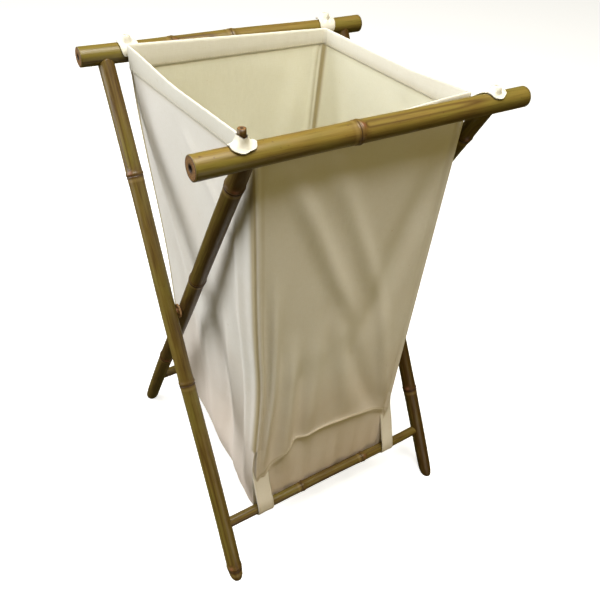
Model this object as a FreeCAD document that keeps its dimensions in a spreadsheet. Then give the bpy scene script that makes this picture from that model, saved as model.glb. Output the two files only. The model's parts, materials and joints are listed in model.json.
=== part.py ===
import FreeCAD, Part
import math
import os

import Sketcher

# Folding laundry hamper: two bamboo frames cross like an X and turn on a pin at each side. The inner
# frame carries the front rail and stands on the rear floor line; the outer frame carries the rear rail
# and stands on the front floor line. A canvas bag hangs between the rails and is strapped to the two
# crossbars. Millimetres; +X along the rails, -Y to the front, +Z up; origin on the floor at the centre.

Vector = FreeCAD.Vector
doc = FreeCAD.newDocument("folding_hamper")

# --------------------------------------------------------------------------- driving dimensions
SIZES = {
    # frame layout, measured between pole axes
    "rail_height": 650.0,
    "rail_half_gap": 165.0,
    "foot_half_gap": 194.0,
    "bag_to_leg": 3.0,
    # poles
    "rail_overhang": 32.0,
    "rail_radius": 12.5,
    "leg_radius": 10.5,
    "crossbar_radius": 7.25,
    "front_bar_height": 72.0,
    "rear_bar_height": 103.0,
    "socket_depth": 10.5,
    "pith_radius": 2.6,
    "pith_depth": 26.0,
    "rim": 1.2,
    "node_swell": 0.8,
    "node_half_width": 4.5,
    # joinery
    "pin_radius": 4.0,
    "pin_play": 0.06,
    "washer_radius": 9.5,
    "washer_thick": 2.4,
    "washer_play": 0.6,
    "dowel_radius": 4.0,
    "dowel_in_leg": 34.0,
    "peg_radius": 4.5,
    "tall_peg_rise": 16.5,
    "short_peg_rise": 5.5,
    "peg_seat": 3.5,
    "peg_rim": 0.8,
    "front_peg_past_leg": 5.0,
    "rear_peg_before_leg": 30.0,
    "brad_radius": 0.8,
    "brad_length": 9.0,
    "brad_pitch": 4.0,
    "brad_slope": 38.0,
    # bag
    "canvas": 1.6,
    "bag_gap": 0.5,
    "rail_to_rim": 3.0,
    "panels_over_bar": 42.0,
    "bag_floor": 48.0,
    # the floor's corners, from its level, the bag's front edge and the rear crossbar
    "knee_rise": 14.0,
    "front_knee_in": 12.0,
    "front_flat_in": 46.0,
    "rear_shelf_in": 19.1,
    "rear_knee_in": 29.1,
    "rear_flat_in": 77.1,
    "shelf_over_bar": 7.0,
    "bag_top_half_width": 143.5,
    "bag_side_taper": 30.5,
    "rail_to_bag": 3.1,
    "bar_to_bag": 0.98,
    "hem_depth": 21.0,
    "wrap_play": 0.3,
    "tab_width": 30.0,
    "tab_start": 16.0,
    "tab_end": 132.0,
    "front_tab_offset": 6.0,
    "rear_tab_offset": 0.0,
    "buttonhole_play": 0.4,
    "strap_width": 30.0,
    "strap_past_corner": 2.0,
    "front_strap_gap": 16.0,
    "rear_strap_gap": 30.0,
    # raw pole length left past the floor line before the feet are cut flat, and past the saddles
    "foot_allowance": 10.0,
    "saddle_bite": 5.0,
}

sheet = doc.addObject("Spreadsheet::Sheet", "sizes")
for row, (alias, value) in enumerate(SIZES.items(), start=1):
    sheet.set(f"A{row}", alias)
    sheet.set(f"B{row}", str(value))
    sheet.setAlias(f"B{row}", alias)
doc.recompute()

# --------------------------------------------------------------------------- worked-out layout
# tilt: angle of every leg from the vertical. h_*: distances along a leg from its raw lower end.
LAYOUT = {
    "tilt": "atan((sizes.rail_half_gap + sizes.foot_half_gap) / sizes.rail_height)",
    "pivot_height": "sizes.rail_height * sizes.foot_half_gap"
    " / (sizes.rail_half_gap + sizes.foot_half_gap)",
    "inner_half_spread": "sizes.bag_top_half_width + sizes.bag_to_leg + sizes.leg_radius",
    "outer_half_spread": "layout.inner_half_spread + 2 * sizes.leg_radius"
    " + sizes.washer_thick + sizes.washer_play",
    "rail_length": "2 * (layout.outer_half_spread + sizes.rail_overhang)",
    "front_peg_half_spread": "layout.inner_half_spread + sizes.front_peg_past_leg",
    "rear_peg_half_spread": "layout.outer_half_spread - sizes.rear_peg_before_leg",
    "tall_peg": "sizes.rail_radius + sizes.tall_peg_rise",
    "short_peg": "sizes.rail_radius + sizes.short_peg_rise",
    "bag_bottom_half_width": "sizes.bag_top_half_width - sizes.bag_side_taper",
    "strap_half_spread": "layout.bag_bottom_half_width + sizes.strap_past_corner",
    "bag_top": "sizes.rail_height + sizes.rail_to_rim",
    "h_rail": "sizes.foot_allowance + sizes.rail_height / cos(layout.tilt)",
    "h_pivot": "sizes.foot_allowance + layout.pivot_height / cos(layout.tilt)",
    "h_front_bar": "sizes.foot_allowance + sizes.front_bar_height / cos(layout.tilt)",
    "h_rear_bar": "sizes.foot_allowance + sizes.rear_bar_height / cos(layout.tilt)",
    "leg_length": "layout.h_rail - sizes.saddle_bite",
    "front_bar_y": "sizes.front_bar_height * tan(layout.tilt) - sizes.foot_half_gap",
    "rear_bar_y": "sizes.foot_half_gap - sizes.rear_bar_height * tan(layout.tilt)",
    "bag_top_half_depth": "sizes.rail_half_gap - sizes.rail_radius - sizes.rail_to_bag",
    "bag_bottom_half_depth": "-layout.front_bar_y - sizes.crossbar_radius - sizes.bar_to_bag",
    "floor_knee": "sizes.bag_floor + sizes.knee_rise",
    "floor_front_knee": "layout.bag_bottom_half_depth - sizes.front_knee_in",
    "floor_front_flat": "layout.bag_bottom_half_depth - sizes.front_flat_in",
    "floor_rear_shelf": "layout.rear_bar_y - sizes.rear_shelf_in",
    "floor_rear_knee": "layout.rear_bar_y - sizes.rear_knee_in",
    "floor_rear_flat": "layout.rear_bar_y - sizes.rear_flat_in",
    "floor_shelf": "sizes.rear_bar_height + sizes.shelf_over_bar",
    "bag_bottom": "sizes.rear_bar_height + sizes.panels_over_bar",
    "panel_drop": "layout.bag_top - sizes.hem_depth - layout.bag_bottom",
    "bag_drop": "layout.bag_top - layout.bag_bottom",
    "side_lean": "atan(sizes.bag_side_taper / layout.bag_drop)",
    "front_lean": "atan((layout.bag_top_half_depth - layout.bag_bottom_half_depth)"
    " / layout.bag_drop)",
    "hem_half_width": "sizes.bag_top_half_width - sizes.hem_depth * tan(layout.side_lean)",
    "hem_half_depth": "layout.bag_top_half_depth - sizes.hem_depth * tan(layout.front_lean)",
}

layout = doc.addObject("App::FeaturePython", "layout")
for name, formula in LAYOUT.items():
    layout.addProperty("App::PropertyFloat", name, "Layout")
    layout.setExpression(name, formula)
    doc.recompute()

SUBPARTS = []
X_AXIS, Y_AXIS, Z_AXIS = Vector(1, 0, 0), Vector(0, 1, 0), Vector(0, 0, 1)
ORIGIN, START, CENTRE = -1, 1, 3


# --------------------------------------------------------------------------- helpers
def keep(obj, label):
    """Name a finished sub-part; its label is its file name."""
    obj.Label = label
    SUBPARTS.append(obj)
    return obj


def place(obj, x="0", y="0", z="0", axis=None, angle=None):
    """Bind an object's place to the sheet, and its turn about one axis where it has one."""
    if axis is not None:
        obj.Placement = FreeCAD.Placement(Vector(0, 0, 0), FreeCAD.Rotation(axis, 30))
        obj.setExpression(".Placement.Rotation.Angle", angle)
    for letter, formula in zip("xyz", (x, y, z)):
        obj.setExpression(f".Placement.Base.{letter}", formula)


def new_body(name):
    return doc.addObject("PartDesign::Body", name)


def new_sketch(body, name, plane):
    """An empty sketch on one of the body's own origin planes."""
    sketch = body.newObject("Sketcher::SketchObject", name)
    support = [f for f in body.Origin.OriginFeatures if f.Role == plane][0]
    sketch.AttachmentSupport = (support, [""])
    sketch.MapMode = "FlatFace"
    return sketch


def pin_point(sketch, geometry, which, across, up, guess):
    """Hold a point of a sketch at (across, up) from the sketch's origin."""
    for kind, formula, value in (("DistanceX", across, guess.x), ("DistanceY", up, guess.y)):
        held = Sketcher.Constraint(kind, ORIGIN, 1, geometry, which, value)
        sketch.setExpression(f"Constraints[{sketch.addConstraint(held)}]", formula)


def outline(body, name, plane, corners):
    """A closed straight-sided sketch, its corners given as pairs of formulas."""
    sketch = new_sketch(body, name, plane)
    count = len(corners)
    turns = [2 * math.pi * i / count for i in range(count)]
    guesses = [Vector(math.cos(a), math.sin(a), 0) for a in turns]
    for i in range(count):
        sketch.addGeometry(Part.LineSegment(guesses[i], guesses[(i + 1) % count]))
    for i in range(count):
        sketch.addConstraint(Sketcher.Constraint("Coincident", i, 2, (i + 1) % count, 1))
    for i, (across, up) in enumerate(corners):
        pin_point(sketch, i, START, across, up, guesses[i])
    return sketch


def circle(body, name, plane, across, up, radius):
    """A sketch with one circle, its centre and radius given as formulas."""
    sketch = new_sketch(body, name, plane)
    sketch.addGeometry(Part.Circle(Vector(1, 1, 0), Z_AXIS, 1))
    pin_point(sketch, 0, CENTRE, across, up, Vector(1, 1, 0))
    size = sketch.addConstraint(Sketcher.Constraint("Radius", 0, 1))
    sketch.setExpression(f"Constraints[{size}]", radius)
    return sketch


def pad(body, sketch, length, both_sides=False):
    feature = body.newObject("PartDesign::Pad", sketch.Name + "_pad")
    feature.Profile = sketch
    feature.SideType = "Symmetric" if both_sides else "One side"
    feature.setExpression("Length", length)
    return feature


def cut(body, sketch, towards="both"):
    """Cut a sketch right through the body: both ways, or one way along or against its normal."""
    feature = body.newObject("PartDesign::Pocket", sketch.Name + "_cut")
    feature.Profile = sketch
    feature.Type = "ThroughAll"
    feature.SideType = "Symmetric" if towards == "both" else "One side"
    feature.Reversed = towards == "along"
    sketch.Visibility = False
    return feature


def culm(name, length, radius, nodes, pith):
    """A bamboo pole standing on its local origin: a round stem with a raised ring at each node."""
    body = new_body(name)
    corners = [(f"{radius} - sizes.rim", "0"), (radius, "sizes.rim")]
    for at in nodes:
        corners.append((radius, f"{at} - sizes.node_half_width"))
        corners.append((f"{radius} + sizes.node_swell", at))
        corners.append((radius, f"{at} + sizes.node_half_width"))
    corners.append((radius, f"{length} - sizes.rim"))
    corners.append((f"{radius} - sizes.rim", length))
    if pith:
        corners.append(("sizes.pith_radius", length))
        corners.append(("sizes.pith_radius", f"{length} - sizes.pith_depth"))
        corners.append(("0", f"{length} - sizes.pith_depth"))
        corners.append(("0", "sizes.pith_depth"))
        corners.append(("sizes.pith_radius", "sizes.pith_depth"))
        corners.append(("sizes.pith_radius", "0"))
    else:
        corners.append(("0", length))
        corners.append(("0", "0"))
    profile = outline(body, name + "_profile", "XZ_Plane", corners)
    stem = body.newObject("PartDesign::Revolution", name + "_stem")
    stem.Profile = profile
    stem.ReferenceAxis = (profile, ["V_Axis"])
    stem.Angle = 360
    return body


def shares(length, fractions):
    return [f"{fraction} * {length}" for fraction in fractions]


# --------------------------------------------------------------------------- legs
def leg(name, side, inner, nodes):
    """A leg: a saddle under its rail, a dowel bore, a pivot bore, a crossbar socket and a flat foot.

    side is -1 on the left and 1 on the right. An inner leg leans forward at its top, an outer one back.
    """
    lean = "layout.tilt" if inner else "-layout.tilt"
    body = culm(name, "layout.leg_length", "sizes.leg_radius", nodes, pith=False)

    saddle = circle(body, name + "_saddle", "YZ_Plane", "0", "layout.h_rail", "sizes.rail_radius")
    cut(body, saddle)

    bore_radius = "sizes.pin_radius" if inner else "sizes.pin_radius + sizes.pin_play"
    cut(body, circle(body, name + "_pivot", "YZ_Plane", "0", "layout.h_pivot", bore_radius))

    # the socket is bored from the leg's inner side to socket_depth past its surface
    bar_at = "layout.h_rear_bar" if inner else "layout.h_front_bar"
    socket = circle(body, name + "_socket", "YZ_Plane", "0", bar_at, "sizes.crossbar_radius")
    socket.AttachmentOffset = FreeCAD.Placement(Vector(0, 0, 0), FreeCAD.Rotation())
    floor_of_socket = f"{-side} * (sizes.leg_radius - sizes.socket_depth)"
    socket.setExpression(".AttachmentOffset.Base.z", floor_of_socket)
    cut(body, socket, "along" if side < 0 else "against")

    # everything below the floor line comes off, so that the leaning leg stands flat
    reach = "1.4 * sizes.leg_radius"
    rise = f"{reach} * tan({lean})"
    floor = outline(
        body,
        name + "_floor",
        "YZ_Plane",
        [
            (f"-{reach}", "-sizes.foot_allowance"),
            (reach, "-sizes.foot_allowance"),
            (reach, f"sizes.foot_allowance - {rise}"),
            (f"-{reach}", f"sizes.foot_allowance + {rise}"),
        ],
    )
    cut(body, floor)

    bore = circle(body, name + "_dowel_bore", "XY_Plane", "0", "0", "sizes.dowel_radius")
    bore.AttachmentOffset = FreeCAD.Placement(Vector(0, 0, 0), FreeCAD.Rotation())
    bottom = "layout.h_rail - sizes.rail_radius - sizes.dowel_in_leg"
    bore.setExpression(".AttachmentOffset.Base.z", bottom)
    cut(body, bore, "along")

    # the raw lower end lies foot_allowance down the leg's own axis from the floor line
    back = 1 if inner else -1
    spread = "layout.inner_half_spread" if inner else "layout.outer_half_spread"
    place(
        body,
        f"{side} * {spread}",
        f"{back} * (sizes.foot_half_gap + sizes.foot_allowance * sin(layout.tilt))",
        "-sizes.foot_allowance * cos(layout.tilt)",
        X_AXIS,
        lean,
    )
    return keep(body, name)


SIDES = {"left": -1, "right": 1}
LEG_NODES = {
    ("inner", "left"): (0.30, 0.668, 0.942),
    ("inner", "right"): (0.17, 0.41, 0.68, 0.93),
    ("outer", "left"): (0.033, 0.415, 0.80),
    ("outer", "right"): (0.22, 0.48, 0.79),
}
for (frame, side_name), fractions in LEG_NODES.items():
    rings = shares("layout.leg_length", fractions)
    leg(f"{frame}_leg_{side_name}", SIDES[side_name], frame == "inner", rings)


# --------------------------------------------------------------------------- rails
def rail(name, front, nodes):
    """A top rail, lying along X: bores for the leg dowels below and for the bag pegs above."""
    body = culm(name, "layout.rail_length", "sizes.rail_radius", nodes, pith=True)
    middle = "layout.rail_length / 2"
    legs_at = "layout.inner_half_spread" if front else "layout.outer_half_spread"
    pegs_at = f"layout.{'front' if front else 'rear'}_peg_half_spread"
    for side_name, side in SIDES.items():
        label = f"{name}_{side_name}"
        at = f"{middle} + {side} * {legs_at}"
        dowel = circle(body, label + "_dowel_bore", "YZ_Plane", "0", at, "sizes.dowel_radius")
        dowel.AttachmentOffset = FreeCAD.Placement(Vector(0, 0, 0), FreeCAD.Rotation(Y_AXIS, 30))
        turn = "layout.tilt" if front else "-layout.tilt"
        dowel.setExpression(".AttachmentOffset.Rotation.Angle", turn)
        cut(body, dowel, "along")
        at = f"{middle} + {side} * {pegs_at}"
        peg = circle(body, label + "_peg_bore", "YZ_Plane", "0", at, "sizes.peg_radius")
        peg.AttachmentOffset = FreeCAD.Placement(Vector(0, 0, 0), FreeCAD.Rotation())
        peg.setExpression(".AttachmentOffset.Base.z", "-sizes.peg_seat")
        cut(body, peg, "against")
    depth = "-sizes.rail_half_gap" if front else "sizes.rail_half_gap"
    place(body, f"-{middle}", depth, "sizes.rail_height", Y_AXIS, "90")
    return keep(body, name)


rail("front_rail", True, shares("layout.rail_length", (0.424,)))
rail("rear_rail", False, shares("layout.rail_length", (0.285, 0.49)))


# --------------------------------------------------------------------------- crossbars
def crossbar(name, front, nodes):
    """A low rung between two legs, its ends seated in their sockets."""
    spread = "layout.outer_half_spread" if front else "layout.inner_half_spread"
    ends = f"({spread} + sizes.socket_depth - sizes.leg_radius)"
    length = f"2 * {ends}"
    body = culm(name, length, "sizes.crossbar_radius", shares(length, nodes), pith=False)
    word = "front" if front else "rear"
    place(body, f"-{ends}", f"layout.{word}_bar_y", f"sizes.{word}_bar_height", Y_AXIS, "90")
    return keep(body, name)


crossbar("front_crossbar", True, (0.36, 0.67))
crossbar("rear_crossbar", False, (0.31, 0.66))


# --------------------------------------------------------------------------- pivots
def round_bar(name, radius, length):
    bar = doc.addObject("Part::Cylinder", name)
    bar.setExpression("Radius", radius)
    bar.setExpression("Height", length)
    return bar


for side_name, side in SIDES.items():
    # a dowel glued into the inner leg, on which the outer leg turns; its ends lie flush
    reach = "(layout.outer_half_spread - layout.inner_half_spread + 2 * sizes.leg_radius)"
    pin = round_bar(f"pivot_pin_{side_name}", "sizes.pin_radius", reach)
    near = "layout.inner_half_spread - sizes.leg_radius"
    start = near if side > 0 else f"-({near}) - {reach}"
    place(pin, start, "0", "layout.pivot_height", Y_AXIS, "90")
    keep(pin, f"pivot_pin_{side_name}")

    disc = round_bar(f"washer_disc_{side_name}", "sizes.washer_radius", "sizes.washer_thick")
    hole = round_bar(f"washer_hole_{side_name}", "sizes.pin_radius", "sizes.washer_thick")
    washer = doc.addObject("Part::Cut", f"washer_{side_name}")
    washer.Base = disc
    washer.Tool = hole
    face = "layout.inner_half_spread + sizes.leg_radius"
    start = face if side > 0 else f"-({face}) - sizes.washer_thick"
    place(washer, start, "0", "layout.pivot_height", Y_AXIS, "90")
    keep(washer, f"pivot_washer_{side_name}")


# --------------------------------------------------------------------------- dowels, pegs and brads
def rail_fittings(front):
    """The dowel in each leg's top, the rail's two bag pegs, and two brads through each peg's foot."""
    rail_name = "front" if front else "rear"
    face = -1 if front else 1
    legs_at = "layout.inner_half_spread" if front else "layout.outer_half_spread"
    brads = []
    for side_name, side in SIDES.items():
        where = f"{side} * {legs_at}"
        length = "(sizes.rail_radius + sizes.dowel_in_leg)"
        name = f"{rail_name}_rail_dowel_{side_name}"
        dowel = round_bar(name, "sizes.dowel_radius", length)
        lean = "layout.tilt" if front else "-layout.tilt"
        depth = f"{face} * (sizes.rail_half_gap - {length} * sin(layout.tilt))"
        height = f"sizes.rail_height - {length} * cos(layout.tilt)"
        place(dowel, where, depth, height, X_AXIS, lean)
        keep(dowel, name)

        name = f"{rail_name}_peg_{side_name}"
        peg = new_body(name)
        shank = peg.newObject("PartDesign::AdditiveCylinder", name + "_shank")
        shank.setExpression("Radius", "sizes.peg_radius")
        tall = "layout.tall_peg" if front and side < 0 else "layout.short_peg"
        shank.setExpression("Height", f"{tall} - sizes.peg_seat")
        doc.recompute()
        top = max(range(len(shank.Shape.Edges)), key=lambda i: shank.Shape.Edges[i].CenterOfMass.z)
        rim = peg.newObject("PartDesign::Chamfer", name + "_rim")
        rim.Base = (shank, [f"Edge{top + 1}"])
        rim.setExpression("Size", "sizes.peg_rim")
        where = f"{side} * layout.{rail_name}_peg_half_spread"
        seat = "sizes.rail_height + sizes.peg_seat"
        place(peg, where, f"{face} * sizes.rail_half_gap", seat)
        keep(peg, name)

        # two brads side by side, driven square to the rail's skin, from outside and above
        for step in (-0.5, 0.5):
            count = len(brads)
            brad = round_bar(f"{rail_name}_brad_{count}", "sizes.brad_radius", "sizes.brad_length")
            radial = "(sizes.rail_radius - sizes.brad_length)"
            x = f"{where} + {step} * sizes.brad_pitch"
            y = f"{face} * (sizes.rail_half_gap + {radial} * sin(sizes.brad_slope))"
            z = f"sizes.rail_height + {radial} * cos(sizes.brad_slope)"
            place(brad, x, y, z, X_AXIS, f"{-face} * sizes.brad_slope")
            brads.append(brad)
    group = doc.addObject("Part::Compound", f"{rail_name}_peg_brads")
    group.Links = brads
    keep(group, f"{rail_name}_peg_brads")


rail_fittings(True)
rail_fittings(False)


# --------------------------------------------------------------------------- bag
# The four panels lean in towards the floor. Each panel ends bag_gap short of its neighbours.
def end_panel(name, front):
    """The front or rear panel: narrower at the bottom, flat, facing outwards along Y."""
    body = new_body(name)
    inset = "(sizes.canvas + sizes.bag_gap)"
    drop = "layout.panel_drop / cos(layout.front_lean)"
    top_half = f"(layout.hem_half_width - {inset})"
    low_half = f"(layout.bag_bottom_half_width - {inset})"
    corners = [
        (f"-{low_half}", f"-{drop}"),
        (low_half, f"-{drop}"),
        (top_half, "-sizes.bag_gap"),
        (f"-{top_half}", "-sizes.bag_gap"),
    ]
    pad(body, outline(body, name + "_cut", "XZ_Plane", corners), "sizes.canvas")
    face = -1 if front else 1
    # the pad grows forward, towards -Y, from the sketch plane
    depth = "layout.hem_half_depth - sizes.canvas" if front else "layout.hem_half_depth"
    top = "layout.bag_top - sizes.hem_depth"
    place(body, "0", f"{face} * ({depth})", top, X_AXIS, f"{-face} * layout.front_lean")
    return keep(body, name)


def floor_line(edge):
    """The floor's underside from front to rear, as (y, z) formulas, for a bag edge at plus and minus edge.

    It drops steeply behind the front seam, hangs level, and clears the rear crossbar on its way up.
    """
    return [
        (f"-{edge}", "layout.bag_bottom"),
        ("-layout.floor_front_knee", "layout.floor_knee"),
        ("-layout.floor_front_flat", "sizes.bag_floor"),
        ("layout.floor_rear_flat", "sizes.bag_floor"),
        ("layout.floor_rear_knee", "layout.floor_knee"),
        ("layout.floor_rear_shelf", "layout.floor_shelf"),
        (edge, "layout.bag_bottom"),
    ]


def side_panel(name, side):
    """A side panel, its lower edge following the sagging floor."""
    body = new_body(name)
    top = "layout.hem_half_depth"
    lower_edge = [(f"({y})", z) for y, z in floor_line("layout.bag_bottom_half_depth")]
    hem_line = "layout.bag_top - sizes.hem_depth"
    corners = [(y, f"({z} - ({hem_line})) / cos(layout.side_lean)") for y, z in lower_edge]
    corners += [(top, "-sizes.bag_gap"), (f"-{top}", "-sizes.bag_gap")]
    pad(body, outline(body, name + "_cut", "YZ_Plane", corners), "sizes.canvas")
    height = "layout.bag_top - sizes.hem_depth"
    inner = "layout.hem_half_width - sizes.canvas" if side > 0 else "layout.hem_half_width"
    place(body, f"{side} * ({inner})", "0", height, Y_AXIS, f"{side} * layout.side_lean")
    return keep(body, name)


def bag_floor():
    """The floor, a sagging trough hung from the four panels."""
    body = new_body("bag_floor")
    inset = "(sizes.canvas + sizes.bag_gap)"
    edge = f"(layout.bag_bottom_half_depth - {inset})"
    under = floor_line(edge)
    over = [(edge, "layout.bag_bottom + 2 * sizes.canvas")]
    over.append(("layout.floor_rear_shelf - sizes.canvas", "layout.floor_shelf + sizes.canvas"))
    over.append(("layout.floor_rear_knee - sizes.canvas", "layout.floor_knee + sizes.canvas"))
    over.append(("layout.floor_rear_flat", "sizes.bag_floor + sizes.canvas"))
    over.append(("-layout.floor_front_flat", "sizes.bag_floor + sizes.canvas"))
    over.append(("sizes.canvas - layout.floor_front_knee", "layout.floor_knee + sizes.canvas"))
    over.append((f"sizes.canvas - {edge}", "layout.bag_bottom + 2 * sizes.canvas"))
    corners = under + over
    narrow = "(layout.bag_bottom - sizes.bag_floor) * tan(layout.side_lean)"
    half = f"(layout.bag_bottom_half_width - {narrow} - {inset})"
    profile = outline(body, "bag_floor_profile", "YZ_Plane", corners)
    pad(body, profile, f"2 * {half}", both_sides=True)
    return keep(body, "bag_floor")


def box(name, along_x, along_y, along_z):
    block = doc.addObject("Part::Box", name)
    block.setExpression("Length", along_x)
    block.setExpression("Width", along_y)
    block.setExpression("Height", along_z)
    return block


def hem(name, axis, face):
    """A hem: the panel's top turned over twice into a stiff band along one rail or one side."""
    thick = "2 * sizes.canvas"
    bottom = "layout.bag_top - sizes.hem_depth"
    if axis == "x":
        half = f"(sizes.bag_top_half_width - {thick} - sizes.bag_gap)"
        band = box(name, f"2 * {half}", thick, "sizes.hem_depth")
        outer = "layout.bag_top_half_depth"
        near = f"-{outer}" if face < 0 else f"{outer} - {thick}"
        place(band, f"-{half}", near, bottom)
    else:
        half = "layout.bag_top_half_depth"
        band = box(name, thick, f"2 * {half}", "sizes.hem_depth")
        outer = "sizes.bag_top_half_width"
        near = f"-{outer}" if face < 0 else f"{outer} - {thick}"
        place(band, near, f"-{half}", bottom)
    return keep(band, name)


end_panel("bag_front_panel", True)
end_panel("bag_rear_panel", False)
side_panel("bag_left_panel", -1)
side_panel("bag_right_panel", 1)
bag_floor()
hem("bag_front_hem", "x", -1)
hem("bag_rear_hem", "x", 1)
hem("bag_left_hem", "y", -1)
hem("bag_right_hem", "y", 1)


def boolean(kind, name, first, second):
    made = doc.addObject(f"Part::{kind}", name)
    made.Base = first
    made.Tool = second
    return made


def corner_tab(front, side_name):
    """A canvas tab lying over a rail, from the bag's side across the top, buttoned on a peg."""
    rail_name = "front" if front else "rear"
    side = SIDES[side_name]
    name = f"{rail_name}_tab_{side_name}"
    turn_of_wrap = "sizes.tab_end - sizes.tab_start"
    inner_radius = "(sizes.rail_radius + sizes.wrap_play)"
    outer = round_bar(name + "_outer", f"{inner_radius} + sizes.canvas", "sizes.tab_width")
    inner = round_bar(name + "_inner", inner_radius, "sizes.tab_width")
    for arc in (outer, inner):
        arc.setExpression("Angle", turn_of_wrap)
    band = boolean("Cut", name + "_band", outer, inner)
    # the cylinders stand on local Z, which lies along X once turned; their angle starts at local X
    spin = "sizes.tab_start" if front else "180 - sizes.tab_end"
    band.Placement = FreeCAD.Placement(Vector(0, 0, 0), FreeCAD.Rotation(Z_AXIS, 30))
    band.setExpression(".Placement.Rotation.Angle", spin)
    offset = f"sizes.{rail_name}_tab_offset"
    hole_radius = "sizes.peg_radius + sizes.buttonhole_play"
    hole = round_bar(name + "_hole", hole_radius, "2 * sizes.rail_radius")
    place(hole, "0", "0", f"sizes.tab_width / 2 + {side} * {offset}", X_AXIS, "-90")
    tab = boolean("Cut", name + "_cut", band, hole)
    # one third of a turn about (1, 1, 1) lays local Z along X, local X along Y and local Y along Z
    tab.Placement = FreeCAD.Placement(Vector(0, 0, 0), FreeCAD.Rotation(Vector(1, 1, 1), 120))
    middle = f"{side} * (layout.{rail_name}_peg_half_spread - {offset})"
    depth = f"{-1 if front else 1} * sizes.rail_half_gap"
    place(tab, f"{middle} - sizes.tab_width / 2", depth, "sizes.rail_height")
    return keep(tab, name)


def bottom_strap(front, side_name):
    """A strap from the bag's lower hem down round a crossbar and up again: a U seen from the side."""
    bar_name = "front" if front else "rear"
    name = f"{bar_name}_strap_{side_name}"
    up = f"layout.bag_bottom - sizes.{bar_name}_bar_height - sizes.{bar_name}_strap_gap"
    inner_radius = "(sizes.crossbar_radius + sizes.wrap_play)"
    shells = []
    for word, radius in (("outer", f"({inner_radius} + sizes.canvas)"), ("inner", inner_radius)):
        bend = round_bar(f"{name}_{word}_bend", radius, "sizes.strap_width")
        rise = box(f"{name}_{word}_rise", up, f"2 * {radius}", "sizes.strap_width")
        place(rise, "0", f"-{radius}", "0")
        shells.append(boolean("Fuse", f"{name}_{word}", bend, rise))
    strap = boolean("Cut", name + "_cut", shells[0], shells[1])
    # a quarter turn about Y lays local Z along X, and stands local -X up along Z
    where = f"{SIDES[side_name]} * layout.strap_half_spread"
    place(
        strap,
        f"{where} + sizes.strap_width / 2",
        f"layout.{bar_name}_bar_y",
        f"sizes.{bar_name}_bar_height",
        Y_AXIS,
        "-90",
    )
    return keep(strap, name)


for is_front in (True, False):
    for side_name in SIDES:
        corner_tab(is_front, side_name)
        bottom_strap(is_front, side_name)

# --------------------------------------------------------------------------- check and write
doc.recompute()
for obj in doc.Objects:
    if "Invalid" in obj.State or "Error" in obj.State:
        raise RuntimeError(f"{obj.Label} failed: {obj.State}")
for obj in SUBPARTS:
    if obj.Shape.isNull() or not obj.Shape.isValid():
        raise RuntimeError(f"{obj.Label} has no valid shape")
    if not obj.Shape.Solids:
        raise RuntimeError(f"{obj.Label} has no solid")

os.makedirs("parts", exist_ok=True)
for obj in SUBPARTS:
    obj.Shape.exportStep(f"parts/{obj.Label}.step")
    print(obj.Label, len(obj.Shape.Solids), round(obj.Shape.Volume, 1))
print(len(SUBPARTS), "sub-parts")
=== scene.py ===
# %% [markdown]
# A folding laundry hamper: two bamboo frames cross like an X and turn on a pin at each side, and one
# canvas bag hangs between the two top rails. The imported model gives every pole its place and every
# body its motion; the cells below give the poles and the cloth their looks. Each step says what the
# piece is on the real hamper, how it could be made, and why one way was taken.

import json
import math

import bpy
import numpy as np
from mathutils import Matrix, Vector


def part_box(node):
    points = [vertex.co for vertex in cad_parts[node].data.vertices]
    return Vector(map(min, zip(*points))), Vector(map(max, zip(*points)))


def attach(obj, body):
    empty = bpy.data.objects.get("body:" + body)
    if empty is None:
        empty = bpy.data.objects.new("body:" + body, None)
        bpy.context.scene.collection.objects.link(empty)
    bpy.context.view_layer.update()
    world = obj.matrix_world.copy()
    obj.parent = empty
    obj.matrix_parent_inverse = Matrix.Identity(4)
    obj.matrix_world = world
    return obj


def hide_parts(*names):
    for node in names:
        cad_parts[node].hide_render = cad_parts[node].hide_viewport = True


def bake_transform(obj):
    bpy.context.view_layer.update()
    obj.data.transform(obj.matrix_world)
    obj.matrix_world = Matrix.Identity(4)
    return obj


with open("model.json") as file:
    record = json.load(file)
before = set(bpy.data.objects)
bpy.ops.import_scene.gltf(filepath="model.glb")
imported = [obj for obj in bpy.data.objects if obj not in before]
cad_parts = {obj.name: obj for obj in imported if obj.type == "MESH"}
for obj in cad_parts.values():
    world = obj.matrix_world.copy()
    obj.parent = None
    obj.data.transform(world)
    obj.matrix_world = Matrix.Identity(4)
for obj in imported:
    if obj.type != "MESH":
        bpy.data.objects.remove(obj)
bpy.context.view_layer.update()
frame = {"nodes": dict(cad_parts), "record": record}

# %% [markdown]
# The camera stands to the front left of the hamper, above the rim, and looks down into the bag. It is
# rolled a few degrees, so its turn is built from three unit vectors (right, up and backward) instead
# of from Euler angles, which would hide which turn comes first.

# %% Camera
YAW, PITCH, ROLL = (math.radians(a) for a in (33.88, 35.19, 3.69))
ahead = Vector((math.sin(YAW) * math.cos(PITCH), math.cos(YAW) * math.cos(PITCH), -math.sin(PITCH)))
level = Vector((math.cos(YAW), -math.sin(YAW), 0))
above = level.cross(ahead)
right = level * math.cos(ROLL) + above * math.sin(ROLL)
up = above * math.cos(ROLL) - level * math.sin(ROLL)
camera = bpy.data.objects.new("camera", bpy.data.cameras.new("camera"))
camera.data.lens, camera.data.sensor_width = 38.9, 36.0
camera.data.shift_x, camera.data.shift_y = 0.010, -0.061
turn = Matrix((right, up, -ahead)).transposed()
camera.matrix_world = Matrix.Translation((-0.4179, -0.6434, 0.9160)) @ turn.to_4x4()
bpy.context.collection.objects.link(camera)
bpy.context.scene.camera = camera
print("camera looks along", tuple(round(v, 3) for v in ahead))

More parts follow.
